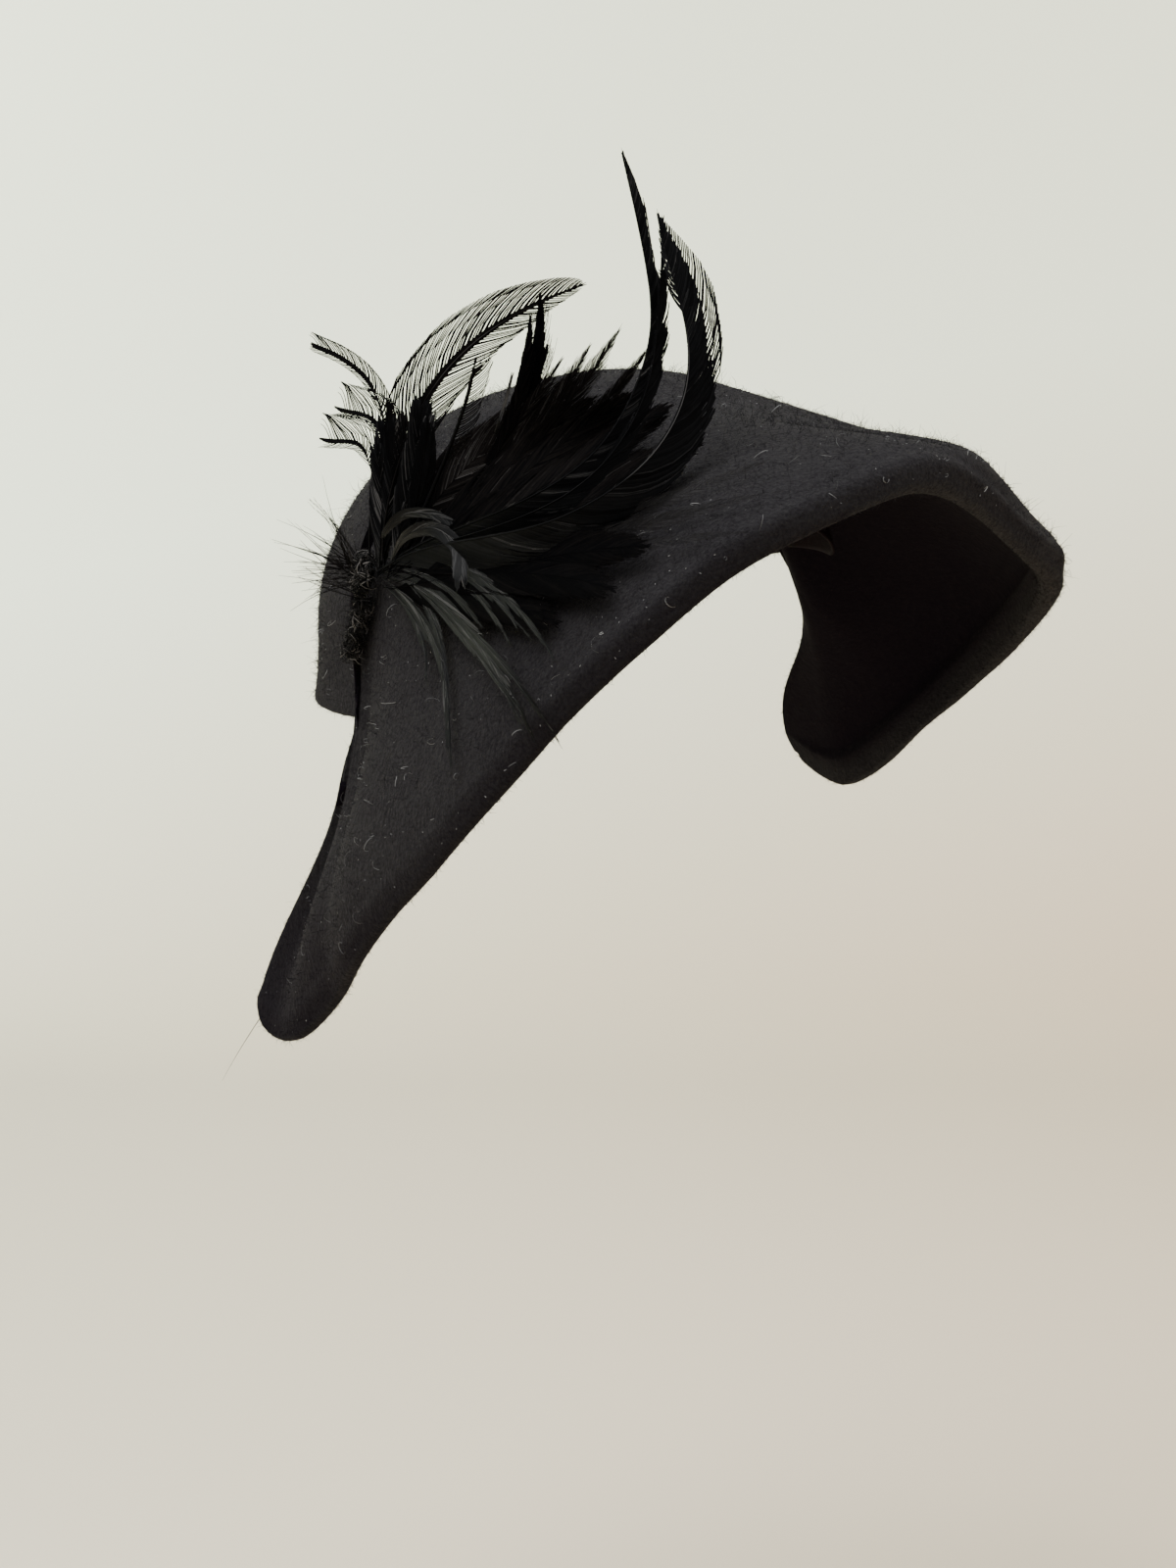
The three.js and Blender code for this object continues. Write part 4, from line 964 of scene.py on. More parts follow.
# %% Sets of barbs for each kind
SET_COLUMNS = (
    "side", "reach", "start", "end", "gap", "forward", "ribbon", "clump", "loose", "ragged",
)
KINDS = {
    "sickle": {
        "shaft": 0.30, "shine": 0.30, "tint": 0.30, "cup": 0.20, "lift": 13.0, "rise": 0.25,
        "fine": 0.14, "streak": 0.15, "root": 0.7, "ends": True,
        "shape": (
            0.30, 0.60, 0.85, 0.95, 0.98, 0.90, 0.80, 0.70, 0.62, 0.56, 0.52,
            0.48, 0.45, 0.39, 0.31, 0.39, 0.20, 0.20, 0.245, 0.17, 0.02,
        ),
        "sets": [
            (-1, 2.00, 0.03, 1.00, 0.32, 2.6, 0.60, 0.10, 0.05, 0.12),
            (-1, 2.50, 0.73, 0.83, 2.00, 5.0, 0.46, 0.00, 0.20, 0.4),
            (-1, 2.90, 0.59, 0.66, 0.50, 2.2, 0.50, 0.80, 0.20, 0.5),
            (1, 0.12, 0.03, 1.00, 0.45, 2.6, 0.45, 0.10, 0.10, 0.2),
        ],
    },
    "open_sickle": {
        "shaft": 0.30, "shine": 0.85, "tint": 0.22, "cup": 0.20, "lift": 14.0, "rise": 0.25,
        "fine": 0.14, "streak": 0.15, "root": 0.8, "ends": True,
        "shape": (
            0.30, 0.55, 0.80, 0.88, 0.90, 0.90, 0.90, 0.92, 0.95, 0.98, 1.0,
            1.0, 0.97, 0.93, 0.80, 0.57, 0.57, 0.59, 0.50, 0.30, 0.02,
        ),
        "sets": [
            (-1, 2.20, 0.03, 1.00, 0.32, 2.4, 0.60, 0.50, 0.05, 0.5),
            (-1, 3.95, 0.60, 0.985, 1.70, 2.5, 0.68, 0.00, 0.00, 0.0),
            (1, 0.90, 0.82, 0.97, 0.90, 3.0, 0.50, 0.60, 0.50, 1.0),
            (1, 0.12, 0.03, 1.00, 0.45, 2.6, 0.45, 0.10, 0.10, 0.2),
        ],
    },
    "thin_sickle": {
        "shaft": 0.30, "shine": 0.20, "tint": 0.22, "cup": 0.20, "lift": 14.0, "rise": 0.25,
        "shape": (0.30, 0.80, 1.0, 0.90, 0.75, 0.60, 0.50, 0.36, 0.34, 0.34, 0.05),
        "sets": [
            (-1, 2.00, 0.03, 1.00, 0.60, 4.0, 0.50, 0.90, 0.60, 1.4),
            (1, 0.60, 0.50, 0.90, 1.20, 4.0, 0.40, 0.90, 0.60, 1.4),
        ],
    },
    "column": {
        "shaft": 0.20, "shine": 0.20, "tint": 0.20, "cup": 0.90, "lift": 1.5, "round": 0.65,
        "streak": 0.24, "fine": 0.26, "root": 1.4,
        "sets": [(0, 0.95, 0.06, 1.00, 0.36, 7.0, 0.50, 0.60, 0.10, 0.8)],
    },
    "cap": {
        "shaft": 0.20, "shine": 0.10, "tint": 0.05, "cup": 0.60, "lift": 5.0, "taper": 0.75,
        "fine": 0.06, "root": 1.0, "ends": True,
        "sets": [
            (-1, 0.90, 0.30, 1.00, 0.34, 3.0, 0.50, 0.30, 0.10, 0.3),
            (1, 1.00, 0.30, 1.00, 0.34, 3.0, 0.50, 0.30, 0.10, 0.3),
        ],
    },
    "hackle": {
        "shaft": 0.30, "shine": 0.65, "tint": 0.16, "cup": 0.20, "lift": 1.0, "taper": 0.40,
        "fine": 0.12,
        "sets": [
            (1, 2.15, 0.22, 1.00, 1.15, 3.0, 0.48, 0.00, 0.10, 0.05),
            (-1, 1.50, 0.22, 0.98, 1.25, 3.2, 0.40, 0.00, 0.20, 0.4),
            (1, 0.30, 0.36, 1.00, 0.50, 6.0, 0.34, 0.30, 0.10, 0.3),
            (-1, 0.22, 0.40, 1.00, 0.50, 7.0, 0.34, 0.30, 0.10, 0.3),
        ],
    },
    "curl": {
        "shaft": 0.36, "shine": 0.25, "tint": 0.10, "cup": 0.20, "lift": 0.5, "taper": 0.95,
        "fine": 0.10,
        "sets": [
            (-1, 1.90, 0.54, 0.98, 0.80, 2.0, 0.36, 0.00, 0.10, 0.1),
            (1, 0.70, 0.62, 1.00, 0.80, 3.0, 0.24, 0.00, 0.20, 0.4),
            (-1, 0.50, 0.70, 1.00, 0.40, 5.0, 0.34, 0.20, 0.20, 0.2),
            (1, 0.16, 0.60, 1.00, 0.45, 4.0, 0.30, 0.30, 0.10, 0.2),
        ],
    },
    "fan_curl": {
        "shaft": 0.36, "shine": 0.25, "tint": 0.10, "cup": 0.20, "lift": 0.5, "taper": 0.95,
        "fine": 0.10,
        "sets": [
            (-1, 4.30, 0.58, 0.98, 0.66, 1.2, 0.34, 0.00, 0.10, 0.1),
            (1, 0.80, 0.66, 1.00, 0.80, 3.0, 0.24, 0.00, 0.20, 0.4),
            (-1, 0.60, 0.70, 1.00, 0.40, 5.0, 0.34, 0.20, 0.20, 0.2),
        ],
    },
    "spine": {
        "shaft": 0.85, "shine": 0.05, "tint": 0.06, "cup": 0.10, "lift": 5.0, "taper": 0.90,
        "sets": [
            (-1, 4.20, 0.50, 0.96, 0.90, 1.6, 0.40, 0.00, 0.60, 1.0),
            (1, 0.40, 0.30, 1.00, 0.60, 3.0, 0.40, 0.40, 0.20, 0.5),
            (-1, 0.40, 0.30, 1.00, 0.60, 3.0, 0.40, 0.40, 0.20, 0.5),
        ],
    },
    "fluff": {
        "shaft": 0.10, "shine": 0.20, "tint": 0.42, "cup": 0.30, "lift": -1.0, "streak": 0.10,
        "fine": 0.13, "root": 0.3,
        "sets": [
            (-1, 1.10, 0.10, 1.00, 0.32, 5.6, 0.26, 0.40, 0.70, 1.0),
            (1, 1.20, 0.10, 1.00, 0.32, 5.6, 0.26, 0.40, 0.90, 1.0),
        ],
    },
    "point": {
        "shaft": 0.26, "shine": 0.10, "tint": 0.12, "cup": 0.45, "lift": 1.0, "taper": 0.55,
        "fine": 0.10,
        "sets": [
            (-1, 0.85, 0.10, 1.00, 0.36, 5.0, 0.46, 0.50, 0.30, 0.8),
            (1, 0.75, 0.10, 1.00, 0.36, 5.0, 0.46, 0.50, 0.30, 0.8),
            (-1, 1.60, 0.60, 0.98, 1.20, 4.0, 0.26, 0.30, 1.00, 1.0),
        ],
    },
    "soft": {
        "shaft": 0.08, "shine": 0.20, "tint": 0.34, "cup": 0.20, "lift": 0.0, "taper": 0.45,
        "fine": 0.14, "ends": True,
        "sets": [
            (0, 1.00, 0.30, 1.00, 0.42, 5.0, 0.20, 0.20, 1.00, 0.8),
            (-1, 0.25, 0.50, 0.97, 0.40, 9.0, 0.30, 0.20, 0.60, 0.8),
        ],
    },
    "fan": {
        "shaft": 0.10, "shine": 0.20, "tint": 0.20, "cup": 0.35, "lift": 0.0, "streak": 0.08,
        "fine": 0.15, "round": 0.3, "ends": True,
        "sets": [
            (0, 1.00, 0.08, 1.00, 0.33, 5.4, 0.30, 0.50, 0.70, 1.0),
            (0, 1.30, 0.55, 1.00, 1.10, 4.6, 0.20, 0.20, 1.00, 1.0),
        ],
    },
    "lobe": {
        "shaft": 0.10, "shine": 0.05, "tint": 0.05, "cup": 0.30, "lift": -1.0, "round": 0.9,
        "fine": 0.06, "streak": 0.05, "ends": True,
        "sets": [
            (0, 1.00, 0.08, 1.00, 0.32, 3.2, 0.34, 0.30, 0.35, 0.6),
            (0, 1.15, 0.50, 1.00, 1.30, 2.6, 0.18, 0.30, 1.00, 1.0),
        ],
    },
    # The turned tips' tint is raised as a painted highlight where they catch the light
    "turned": {
        "shaft": 0.20, "shine": 0.80, "tint": 0.36, "cup": 0.50, "lift": 8.0, "round": 0.8,
        "streak": 0.20, "fine": 0.20, "root": 0.6,
        "sets": [
            (-1, 0.80, 0.00, 1.00, 0.34, 5.0, 0.38, 0.60, 0.20, 0.7),
            (1, 0.70, 0.00, 1.00, 0.34, 5.0, 0.38, 0.60, 0.20, 0.7),
        ],
    },
    # A root of 4.0 paints highlights near the drops' roots
    "drop": {
        "shaft": 0.16, "shine": 0.60, "tint": 0.06, "cup": 0.40, "lift": 2.0, "taper": 0.30,
        "streak": 0.28, "fine": 0.34, "root": 4.0,
        "sets": [(0, 0.80, 0.02, 1.00, 1.00, 11.0, 0.20, 0.95, 0.40, 1.8)],
    },
    "wisp": {
        "shaft": 0.08, "shine": 0.40, "tint": 0.36, "cup": 0.10, "lift": 0.0,
        "sets": [(0, 1.8, 0.35, 1.0, 0.8, 4.0, 0.16, 0.3, 1.0, 1.0)],
    },
    "spike": {
        "shaft": 0.18, "shine": 0.40, "tint": 0.30, "cup": 0.10, "lift": 0.5,
        "sets": [(-1, 0.5, 0.3, 1.0, 1.6, 6.0, 0.16, 0.1, 1.0, 1.0)],
    },
    # The pale strips' high tint is a painted glint
    "strip": {
        "shaft": 0.16, "shine": 1.00, "tint": 0.78, "cup": 0.60, "lift": 12.0, "round": 0.9,
        "root": 0.8,
        "sets": [(0, 0.60, 0.0, 1.0, 0.30, 6.0, 0.50, 0.2, 0.05, 0.3)],
    },
}
TAUT_PASSES = 40
PATH_STEP = 9.0
FINE = 90
KNOT_DEEP = 4.5
CLEAR = 1.2
AIR = 12.0
LAYERS = {"count": 7, "apart": 0.37, "side": 0.5, "turn": np.pi * (3 - np.sqrt(5))}


# %% [markdown]
# ## A feather's path
#
# A feather is a springy rod: from its root it goes on by its heading, step by step. Where
# it rests, it lies over the felt like a taut thread. That depth is found by letting the
# straight line from root to tip relax: each place takes the mean of its neighbours, over
# and over, but never goes below the felt under it.

# %% Paths and depths
def board_path(feather):
    """Steps of equal length along the smoothed headings, as x and y."""
    steps = max(4, round(feather["long"] / PATH_STEP))
    headings = np.array(feather["headings"], float)
    ahead = (len(headings) - 1) * (np.arange(steps) + 0.5) / steps
    heading = np.radians(smooth_rows(headings[:, None], ahead)[:, 0])
    stride = feather["long"] / steps
    xs = feather["x"] + np.concatenate([[0], np.cumsum(stride * np.cos(heading))])
    ys = feather["y"] + np.concatenate([[0], np.cumsum(stride * np.sin(heading))])
    return xs, ys


def highest_felt(x, y, side_x, side_y, reach):
    """The felt's most forward point under a patch of five by five places."""
    ahead_x, ahead_y = side_y, -side_x
    highest = np.full(x.shape, NO_FELT)
    for along in (-0.5, -0.25, 0, 0.25, 0.5):
        for side in (-1, -0.5, 0, 0.5, 1):
            place_x = x + ahead_x * along * PATH_STEP + side_x * side * reach
            place_y = y + ahead_y * along * PATH_STEP + side_y * side * reach
            highest = np.maximum(highest, felt_depth(place_x, place_y))
    return highest


def taut(depths, floors):
    """Pass after pass: each place is the mean of its neighbours, but not below its floor."""
    for _ in range(TAUT_PASSES):
        middle = (depths[:-2] + depths[2:]) / 2
        depths[1:-1] = np.maximum(floors[1:-1], middle)
    return depths


def feather_path(feather, layer):
    """Fine stations of a feather: place on the board, depth, side direction and tilt."""
    kind = KINDS[feather["kind"]]
    xs, ys = board_path(feather)
    count = len(xs)
    run_x, run_y = np.gradient(xs), np.gradient(ys)
    length = np.hypot(run_x, run_y)
    side_x, side_y = -run_y / length, run_x / length
    half = feather["wide"] / 2 + 0.9
    floors = highest_felt(xs, ys, side_x, side_y, half) + CLEAR
    root = floors[0] + KNOT_DEEP / 2 + layer * LAYERS["apart"]
    share = np.linspace(0, 1, count)
    depths = taut(np.maximum(floors, root + feather["lean"] * share), floors)
    depths = depths + kind["lift"] * smooth_step(share, 0.0, kind.get("rise", 0.14))
    low_side = felt_depth(xs - side_x * half, ys - side_y * half)
    high_side = felt_depth(xs + side_x * half, ys + side_y * half)
    known = (low_side > NO_FELT) & (high_side > NO_FELT)
    aloft = smooth_step(depths - floors, 0, AIR)
    tilt = np.where(known, (high_side - low_side) / (2 * half), 0) * (1 - aloft)
    table = np.stack([xs, ys, depths, np.clip(tilt, -0.8, 0.8)], -1)
    fine = smooth_rows(table, np.linspace(0, count - 1, FINE))
    run = np.gradient(fine[:, :2], axis=0)
    run /= np.linalg.norm(run, axis=-1, keepdims=True)
    return {
        "at": fine[:, :2],
        "depth": fine[:, 2],
        "tilt": fine[:, 3],
        "side": np.stack([-run[:, 1], run[:, 0]], -1),
        "long": feather["long"],
    }


# %% [markdown]
# ## Barbs
#
# A feather's blade is not a sheet: it is hundreds of barbs that leave the shaft at a slant,
# curve forward, and cling to each other in tufts. An image with holes could fake that. Here
# each barb is a thin ribbon of its own. It is first drawn in the feather's own measures,
# how far along and how far aside, and then carried onto the bent path, so that a feather
# can arch without its barbs ever tearing apart.

# %% Barbs as ribbons
BARB = {
    "steps": 4, "jitter": 0.3, "tuft": 3, "clumped": 5, "least": 0.3, "curve": 1.7,
    "taper": 0.55, "loose_taper": 0.25, "room": 0.95, "past_end": 2.5, "cling": 0.6,
}
# How much a barb's own noise is where it is held, and how much more where it is loose
OWN_NOISE = {"reach": (0.03, 0.10), "sway": (0.10, 0.5), "rise": (0.10, 0.9)}
TUFT_NOISE = {"reach": 0.06, "forward": 0.08, "rise": 0.25}
OFF_FELT = 0.45
LONGEST = {"share": 0.22, "more": 3}
SHAFT = {"steps": 60, "past_end": 1.01, "lift": 0.12, "taper": 0.85}


def follow(path, along, aside, lift):
    """Carries (along, aside, lift) in mm onto a path, and keeps it clear of the felt."""
    stations = np.linspace(0, path["long"], FINE)
    beyond = np.maximum(along - path["long"], 0)
    at = [np.interp(along, stations, path["at"][:, k]) for k in (0, 1)]
    side = [np.interp(along, stations, path["side"][:, k]) for k in (0, 1)]
    x = at[0] + aside * side[0] + beyond * path["side"][-1, 1]
    y = at[1] + aside * side[1] - beyond * path["side"][-1, 0]
    depth = np.interp(along, stations, path["depth"]) + lift
    depth = depth + aside * np.interp(along, stations, path["tilt"])
    floor = felt_depth(x, y) + OFF_FELT
    return on_board(x, y, np.maximum(depth, floor))


def ribbons(path, along, aside, lift, width, tint):
    """Thin ribbons along rows of (along, aside, lift): edges half a width to each side."""
    run_along = np.gradient(along, axis=1)
    run_aside = np.gradient(aside, axis=1)
    length = np.maximum(np.hypot(run_along, run_aside), 1e-6)
    off_along, off_aside = -run_aside / length * width / 2, run_along / length * width / 2
    shingle = 0.16 * width
    left = follow(path, along + off_along, aside + off_aside, lift + shingle)
    right = follow(path, along - off_along, aside - off_aside, lift - shingle)
    return strips(left, right, tint)


def outline(share, spec):
    """Half width along a feather: its kind's own list, or a quill, a full part and an end."""
    if "shape" in spec:
        return np.interp(share, np.linspace(0, 1, len(spec["shape"])), spec["shape"])
    rounded, taper = spec.get("round", 0), spec.get("taper", 0.3)
    rise = smooth_step(share, 0.0, 0.2)
    pointed = np.clip((1 - share) / (1 - taper), 0, 1) ** 0.7
    domed = np.sqrt(np.clip(1 - (np.maximum(share - 0.6, 0) / 0.4) ** 2, 0, 1))
    return rise * (rounded * domed + (1 - rounded) * pointed)


def half_by_ends(half, start, full, forward, path, spec):
    """Half widths such that the barbs' ends keep the outline: twelve halved steps to it."""
    for _ in range(12):
        ends = np.clip((start + forward * half) / path["long"], 0, 1)
        half = (half + full * outline(ends, spec)) / 2
    return half


def own_noise(name, loose, random):
    """One random number for each barb, wider where its end is loose."""
    held, free = OWN_NOISE[name]
    return random.normal(0, held + free * loose)


def barbs(path, spec, wide, row, random):
    """One set of barbs of one feather, in tufts that lean together and split apart."""
    a_set = dict(zip(SET_COLUMNS, row))
    long, clump, ragged = path["long"], a_set["clump"], a_set["ragged"]
    start = np.arange(a_set["start"] * long, a_set["end"] * long, a_set["gap"])
    start = start + random.uniform(-BARB["jitter"], BARB["jitter"], len(start)) * a_set["gap"]
    in_tuft = BARB["tuft"] + BARB["clumped"] * clump
    tuft_of = np.cumsum(random.uniform(0, 1, len(start)) < 1 / in_tuft)
    tufts = tuft_of.max() + 1
    tuft_noise = random.normal(0, 1, (4, tufts))[:, tuft_of]
    share = np.clip(start / long, 0, 1)
    loose = smooth_step(share, 1 - a_set["loose"], 1.05) * a_set["loose"]
    full = wide / 2 * a_set["reach"]
    half = full * outline(share, spec)
    if spec.get("ends"):
        half = half_by_ends(half, start, full, a_set["forward"], path, spec)
    uneven = own_noise("reach", loose, random) + TUFT_NOISE["reach"] * tuft_noise[0]
    half = np.maximum(half * (1 + ragged * uneven), BARB["least"])
    forward = half * a_set["forward"] * (1 + TUFT_NOISE["forward"] * ragged * tuft_noise[1])
    forward = np.minimum(forward, LONGEST["share"] * long + LONGEST["more"])
    room = (long - start) * BARB["room"] + BARB["past_end"] + ragged * np.abs(tuft_noise[1])
    forward = np.minimum(forward, np.maximum(room, 0.4 * half))
    sizes = np.maximum(np.bincount(tuft_of, minlength=tufts), 1)
    middle = np.bincount(tuft_of, start, tufts) / sizes
    pull = (middle[tuft_of] - start) * BARB["cling"] * clump
    u = np.linspace(0, 1, BARB["steps"] + 1)[None, :]
    sway = ragged * own_noise("sway", loose, random)
    along = start[:, None] + forward[:, None] * u + (pull + sway)[:, None] * u**2
    aside = a_set["side"] * half[:, None] * (1 - (1 - u) ** BARB["curve"])
    rise = own_noise("rise", loose, random) + TUFT_NOISE["rise"] * ragged * tuft_noise[2]
    lift = (rise * half / 4)[:, None] * u**2 - spec["cup"] * half[:, None] * u**2 * 0.5
    width = a_set["ribbon"] * (1 - BARB["taper"] * u) * (1 - BARB["loose_taper"] * loose[:, None])
    # The kind's root value sets the tint near the root: below 1 it is painted shade in the spray's
    # dense middle, above 1 a painted highlight
    root_light_and_shade = spec.get("root", 0.45)
    tint = spec["tint"] * (root_light_and_shade + (1 - root_light_and_shade) * smooth_step(share, 0.0, 0.5))
    tint = tint + spec.get("streak", 0.10) * tuft_noise[3]
    tint = tint + random.normal(0, spec.get("fine", 0.07), len(start))
    return ribbons(path, along, aside, lift, width, np.clip(tint, 0, 1))


def rod(points, radii, tint):
    """A thin rod along a path: a ring of four, square to the path, at each point."""
    run = unit(np.gradient(points, axis=0))
    across = unit(np.cross(run, BOARD_NEAR + 1e-3))
    upward = np.cross(run, across)
    angles = 0.5 * np.pi * np.arange(4)
    ring = across[:, None] * np.cos(angles)[:, None] + upward[:, None] * np.sin(angles)[:, None]
    net = points[:, None] + ring * radii[:, None, None]
    ids = np.arange(len(points) * 4).reshape(len(points), 4)
    ends = np.stack([ids[0, ::-1], ids[-1]])
    faces = np.concatenate([grid_faces(ids, across=True), ends])
    return {"points": net, "faces": faces, "tint": np.repeat(tint, 4)}


def shaft(path, spec):
    """The shaft: a rod that tapers to a hair, sunk a little into the blade, with a painted highlight
    along its middle.
    """
    share = np.linspace(0, 1, SHAFT["steps"])
    along = share * path["long"] * SHAFT["past_end"]
    points = follow(path, along, 0 * along, SHAFT["lift"] + 0 * along)
    radii = spec["shaft"] * (1 - SHAFT["taper"] * share)
    lit = smooth_step(share, 0.40, 0.55) * (1 - smooth_step(share, 0.72, 0.85))
    tint = spec["shine"] * (0.3 + 0.7 * lit)
    return rod(points, radii, tint)


# %% [markdown]
# ## Lay and tie the spray
#
# Each row of the table is one feather, and some are several that lie together: the copies
# differ a little in heading, length and layer, by seeded random numbers, so that the spray
# comes out the same each time.

# %% Make the spray
SPREAD = {"long": 0.06, "heading": 3.5, "curl": 6.0}
FIRST_SEED = 100


def varied(feather, copy, random):
    """A copy of a feather: a few degrees off, a little shorter, and curled a little more."""
    if copy == 0:
        return feather
    turn, curl = random.normal(0, SPREAD["heading"]), random.normal(0, SPREAD["curl"])
    shorter = 1 - abs(random.normal(0, SPREAD["long"])) - 0.04 * copy
    headings = np.array(feather["headings"], float)
    headings = headings + turn + curl * np.linspace(0, 1, len(headings)) ** 2
    changed = dict(feather, headings=headings, long=feather["long"] * shorter)
    changed["x"] += random.uniform(-1.5, 1.5)
    changed["y"] += random.uniform(-1, 1)
    changed["wide"] *= random.uniform(0.7, 1.0)
    changed["lean"] = feather["lean"] * shorter + random.uniform(-1, 2)
    return changed


def feather_parts(feather, layer, random):
    """One feather: its shaft and all its sets of barbs."""
    path = feather_path(feather, layer)
    spec, wide = KINDS[feather["kind"]], feather["wide"]
    parts = [shaft(path, spec)]
    for side, *rest in spec["sets"]:
        for one_side in (side,) if side else (-1, 1):
            parts.append(barbs(path, spec, wide, (one_side, *rest), random))
    return parts


GROUPS = {
    "sickle_feathers": ("sickle", "open_sickle", "thin_sickle"),
    "hackle_feathers": ("hackle", "curl", "fan_curl", "spine", "spike", "wisp"),
    "column_feathers": ("column", "cap"),
    "turned_feathers": ("strip", "turned"),
    "fan_feathers": ("fan", "soft", "point", "fluff"),
    "lobe_feathers": ("lobe",),
    "drop_feathers": ("drop",),
}
spray_parts = {group: [] for group in GROUPS}
for index, row in enumerate(FEATHERS):
    random = np.random.default_rng(FIRST_SEED + index)
    feather = dict(zip(FEATHER_COLUMNS, row))
    group = next(g for g, kinds in GROUPS.items() if feather["kind"] in kinds)
    turned = index * LAYERS["turn"]
    apart = LAYERS["side"] * np.sqrt(index)
    feather["x"] += apart * np.cos(turned)
    feather["y"] += apart * np.sin(turned)
    for copy in range(feather["copies"]):
        layer = (index % LAYERS["count"]) - 1.2 * copy
        spray_parts[group] += feather_parts(varied(feather, copy, random), layer, random)
print("feathers", sum(row[-1] for row in FEATHERS))


# %% [markdown]
# ## The feathers' finish
#
# Cock feathers are black with a brown cast where light comes through the barbs, painted in as
# barbs that grow paler toward their ends, and a dull gloss along them. Each tuft has its own
# tint. The blades of the sickles have a cooler cast, the down is duller, and the strands that
# turn up or hang have a painted grey gleam for the light they catch, so each of these has a
# finish of its own.

# %% Four feather finishes
BLACK = (0.0004, 0.0004, 0.0006)
BROWN = (0.0082, 0.0068, 0.0062)
SLATE = (0.0064, 0.0066, 0.0074)
PAINTED_GLEAM = (0.048, 0.046, 0.046)


def feather_material(name, rough, gloss, middle):
    """Black to a middle colour by tint, painted paler toward the barb's end, and to a painted grey
    gleam where brightest.
    """
    material, shader, paint = new_material(name, {"Specular IOR Level": gloss})
    tint, along = paint.carried("tint"), paint.carried("along")
    dust = paint.noise(paint.here(), 320.0, 3.0)
    # Paler toward the barb's end, by along: painted light coming through the barbs
    body = (tint * 1.2 + along * 0.15 + dust * 0.2 - 0.15).between(BLACK, middle)
    wire(paint, shader, {
        "Base Color": (tint * 2.0 + dust * 0.3 - 1.15).between(body, PAINTED_GLEAM),
        "Roughness": rough + along * 0.12 + dust * 0.16,
        "Normal": bump(paint, dust, 0.00006, 0.5),
    })
    return material


FEATHER_FINISH = feather_material("cock_feather", 0.45, 0.035, BROWN)
SICKLE_FINISH = feather_material("sickle_feather", 0.45, 0.035, SLATE)
DOWN_FINISH = feather_material("soft_feather", 0.60, 0.012, BROWN)
STRAND_FINISH = feather_material("glossy_strand", 0.32, 0.11, SLATE)
FINISHES = {
    "sickle_feathers": SICKLE_FINISH,
    "column_feathers": SICKLE_FINISH,
    "turned_feathers": STRAND_FINISH,
    "drop_feathers": STRAND_FINISH,
    "fan_feathers": DOWN_FINISH,
    "lobe_feathers": DOWN_FINISH,
}
for group, parts in spray_parts.items():
    replaced = ("feather_spray",) if group == "fan_feathers" else ()
    new_piece(group, parts, FINISHES.get(group, FEATHER_FINISH), replaces=replaced)

# %% [markdown]
# ## The knot and the bound stub
#
# The quills are gathered into a padded knot, wound with thread and covered with short curled
# fluff, and their cut ends run on below it as a bound stub. The core of each is a closed
# form with a bumpy surface; over it go thread turns, loops of fluff and stiff loose hairs.

# %% Knot, stub and fluff
KNOT = {"x": -59.0, "y": 14.5, "long": 8, "wide": 5.5, "stand_off": 0.5, "probe": 2}
STUB = {
    "x": -60.6, "y": 7.4, "heading": -104, "long": 17, "radius": 3.2, "stand_off": 0.6,
    "side": 1.2, "windings": 15,
}
# Places down the stub and its radius there, as shares
STUB_OUTLINE = np.array([
    (0, 0), (0, 0.55), (0.2, 0.75), (0.5, 0.72), (0.8, 0.62), (1, 0.42), (1, 0),
])


def single(x, y):
    """The felt's depth at one place, as a plain number."""
    return float(felt_depth(np.array([x]), np.array([y]))[0])


def knot_frame():
    """Middle and axes of the knot: it lies flat against the crown's slope there."""
    x, y, probe = KNOT["x"], KNOT["y"], KNOT["probe"]
    slope_x = (single(x + probe, y) - single(x - probe, y)) / (2 * probe)
    slope_y = (single(x, y + probe) - single(x, y - probe)) / (2 * probe)
    normal = unit(BOARD_NEAR - BOARD_RIGHT * slope_x - BOARD_UP * slope_y)
    base = on_board(np.array(x), np.array(y), np.array(single(x, y)))
    middle = base + normal * (KNOT_DEEP + KNOT["stand_off"])
    along = unit(BOARD_UP - normal * np.dot(BOARD_UP, normal))
    return middle, np.cross(along, normal), along, normal


def ball(middle, axes, radii, rings=28, around=40):
    """An ellipsoid with fine lumps: sines of both angles lift its surface by a twentieth."""
    v = np.linspace(0, np.pi, rings)[:, None]
    u = np.linspace(0, 2 * np.pi, around, endpoint=False)[None, :]
    lump = 1 + (0.04 * np.sin(7 * u + 3 * v) + 0.03 * np.sin(11 * v + 5 * u)) * np.sin(v)
    wide = np.sin(v) * lump
    shape = np.stack([wide * np.cos(u), wide * np.sin(u), np.cos(v) + 0 * u], -1)
    points = middle + (shape * radii) @ np.array(axes)
    ids = np.arange(points[..., 0].size).reshape(points.shape[:2])
    return {"points": points, "faces": grid_faces(ids, across=True), "tint": 0.05}


def stub_frame():
    """Top, direction and outward side of the stub, from two places on the board."""
    heading = np.radians(STUB["heading"])
    x = STUB["x"] + STUB["long"] * np.array([0, np.cos(heading)])
    y = STUB["y"] + STUB["long"] * np.array([0, np.sin(heading)])
    ends = on_board(x, y, felt_depth(x, y))
    axis = unit(ends[1] - ends[0])
    outward = unit(BOARD_NEAR - BOARD_RIGHT * STUB["side"])
    outward = unit(outward - axis * np.dot(outward, axis))
    top = ends[0] + outward * (STUB["radius"] + STUB["stand_off"])
    return top, axis, outward, float(np.linalg.norm(ends[1] - ends[0]))


knot_middle, knot_across, knot_along, knot_out = knot_frame()
stub_top, stub_axis, stub_out, stub_long = stub_frame()
stub_side = np.cross(stub_axis, stub_out)


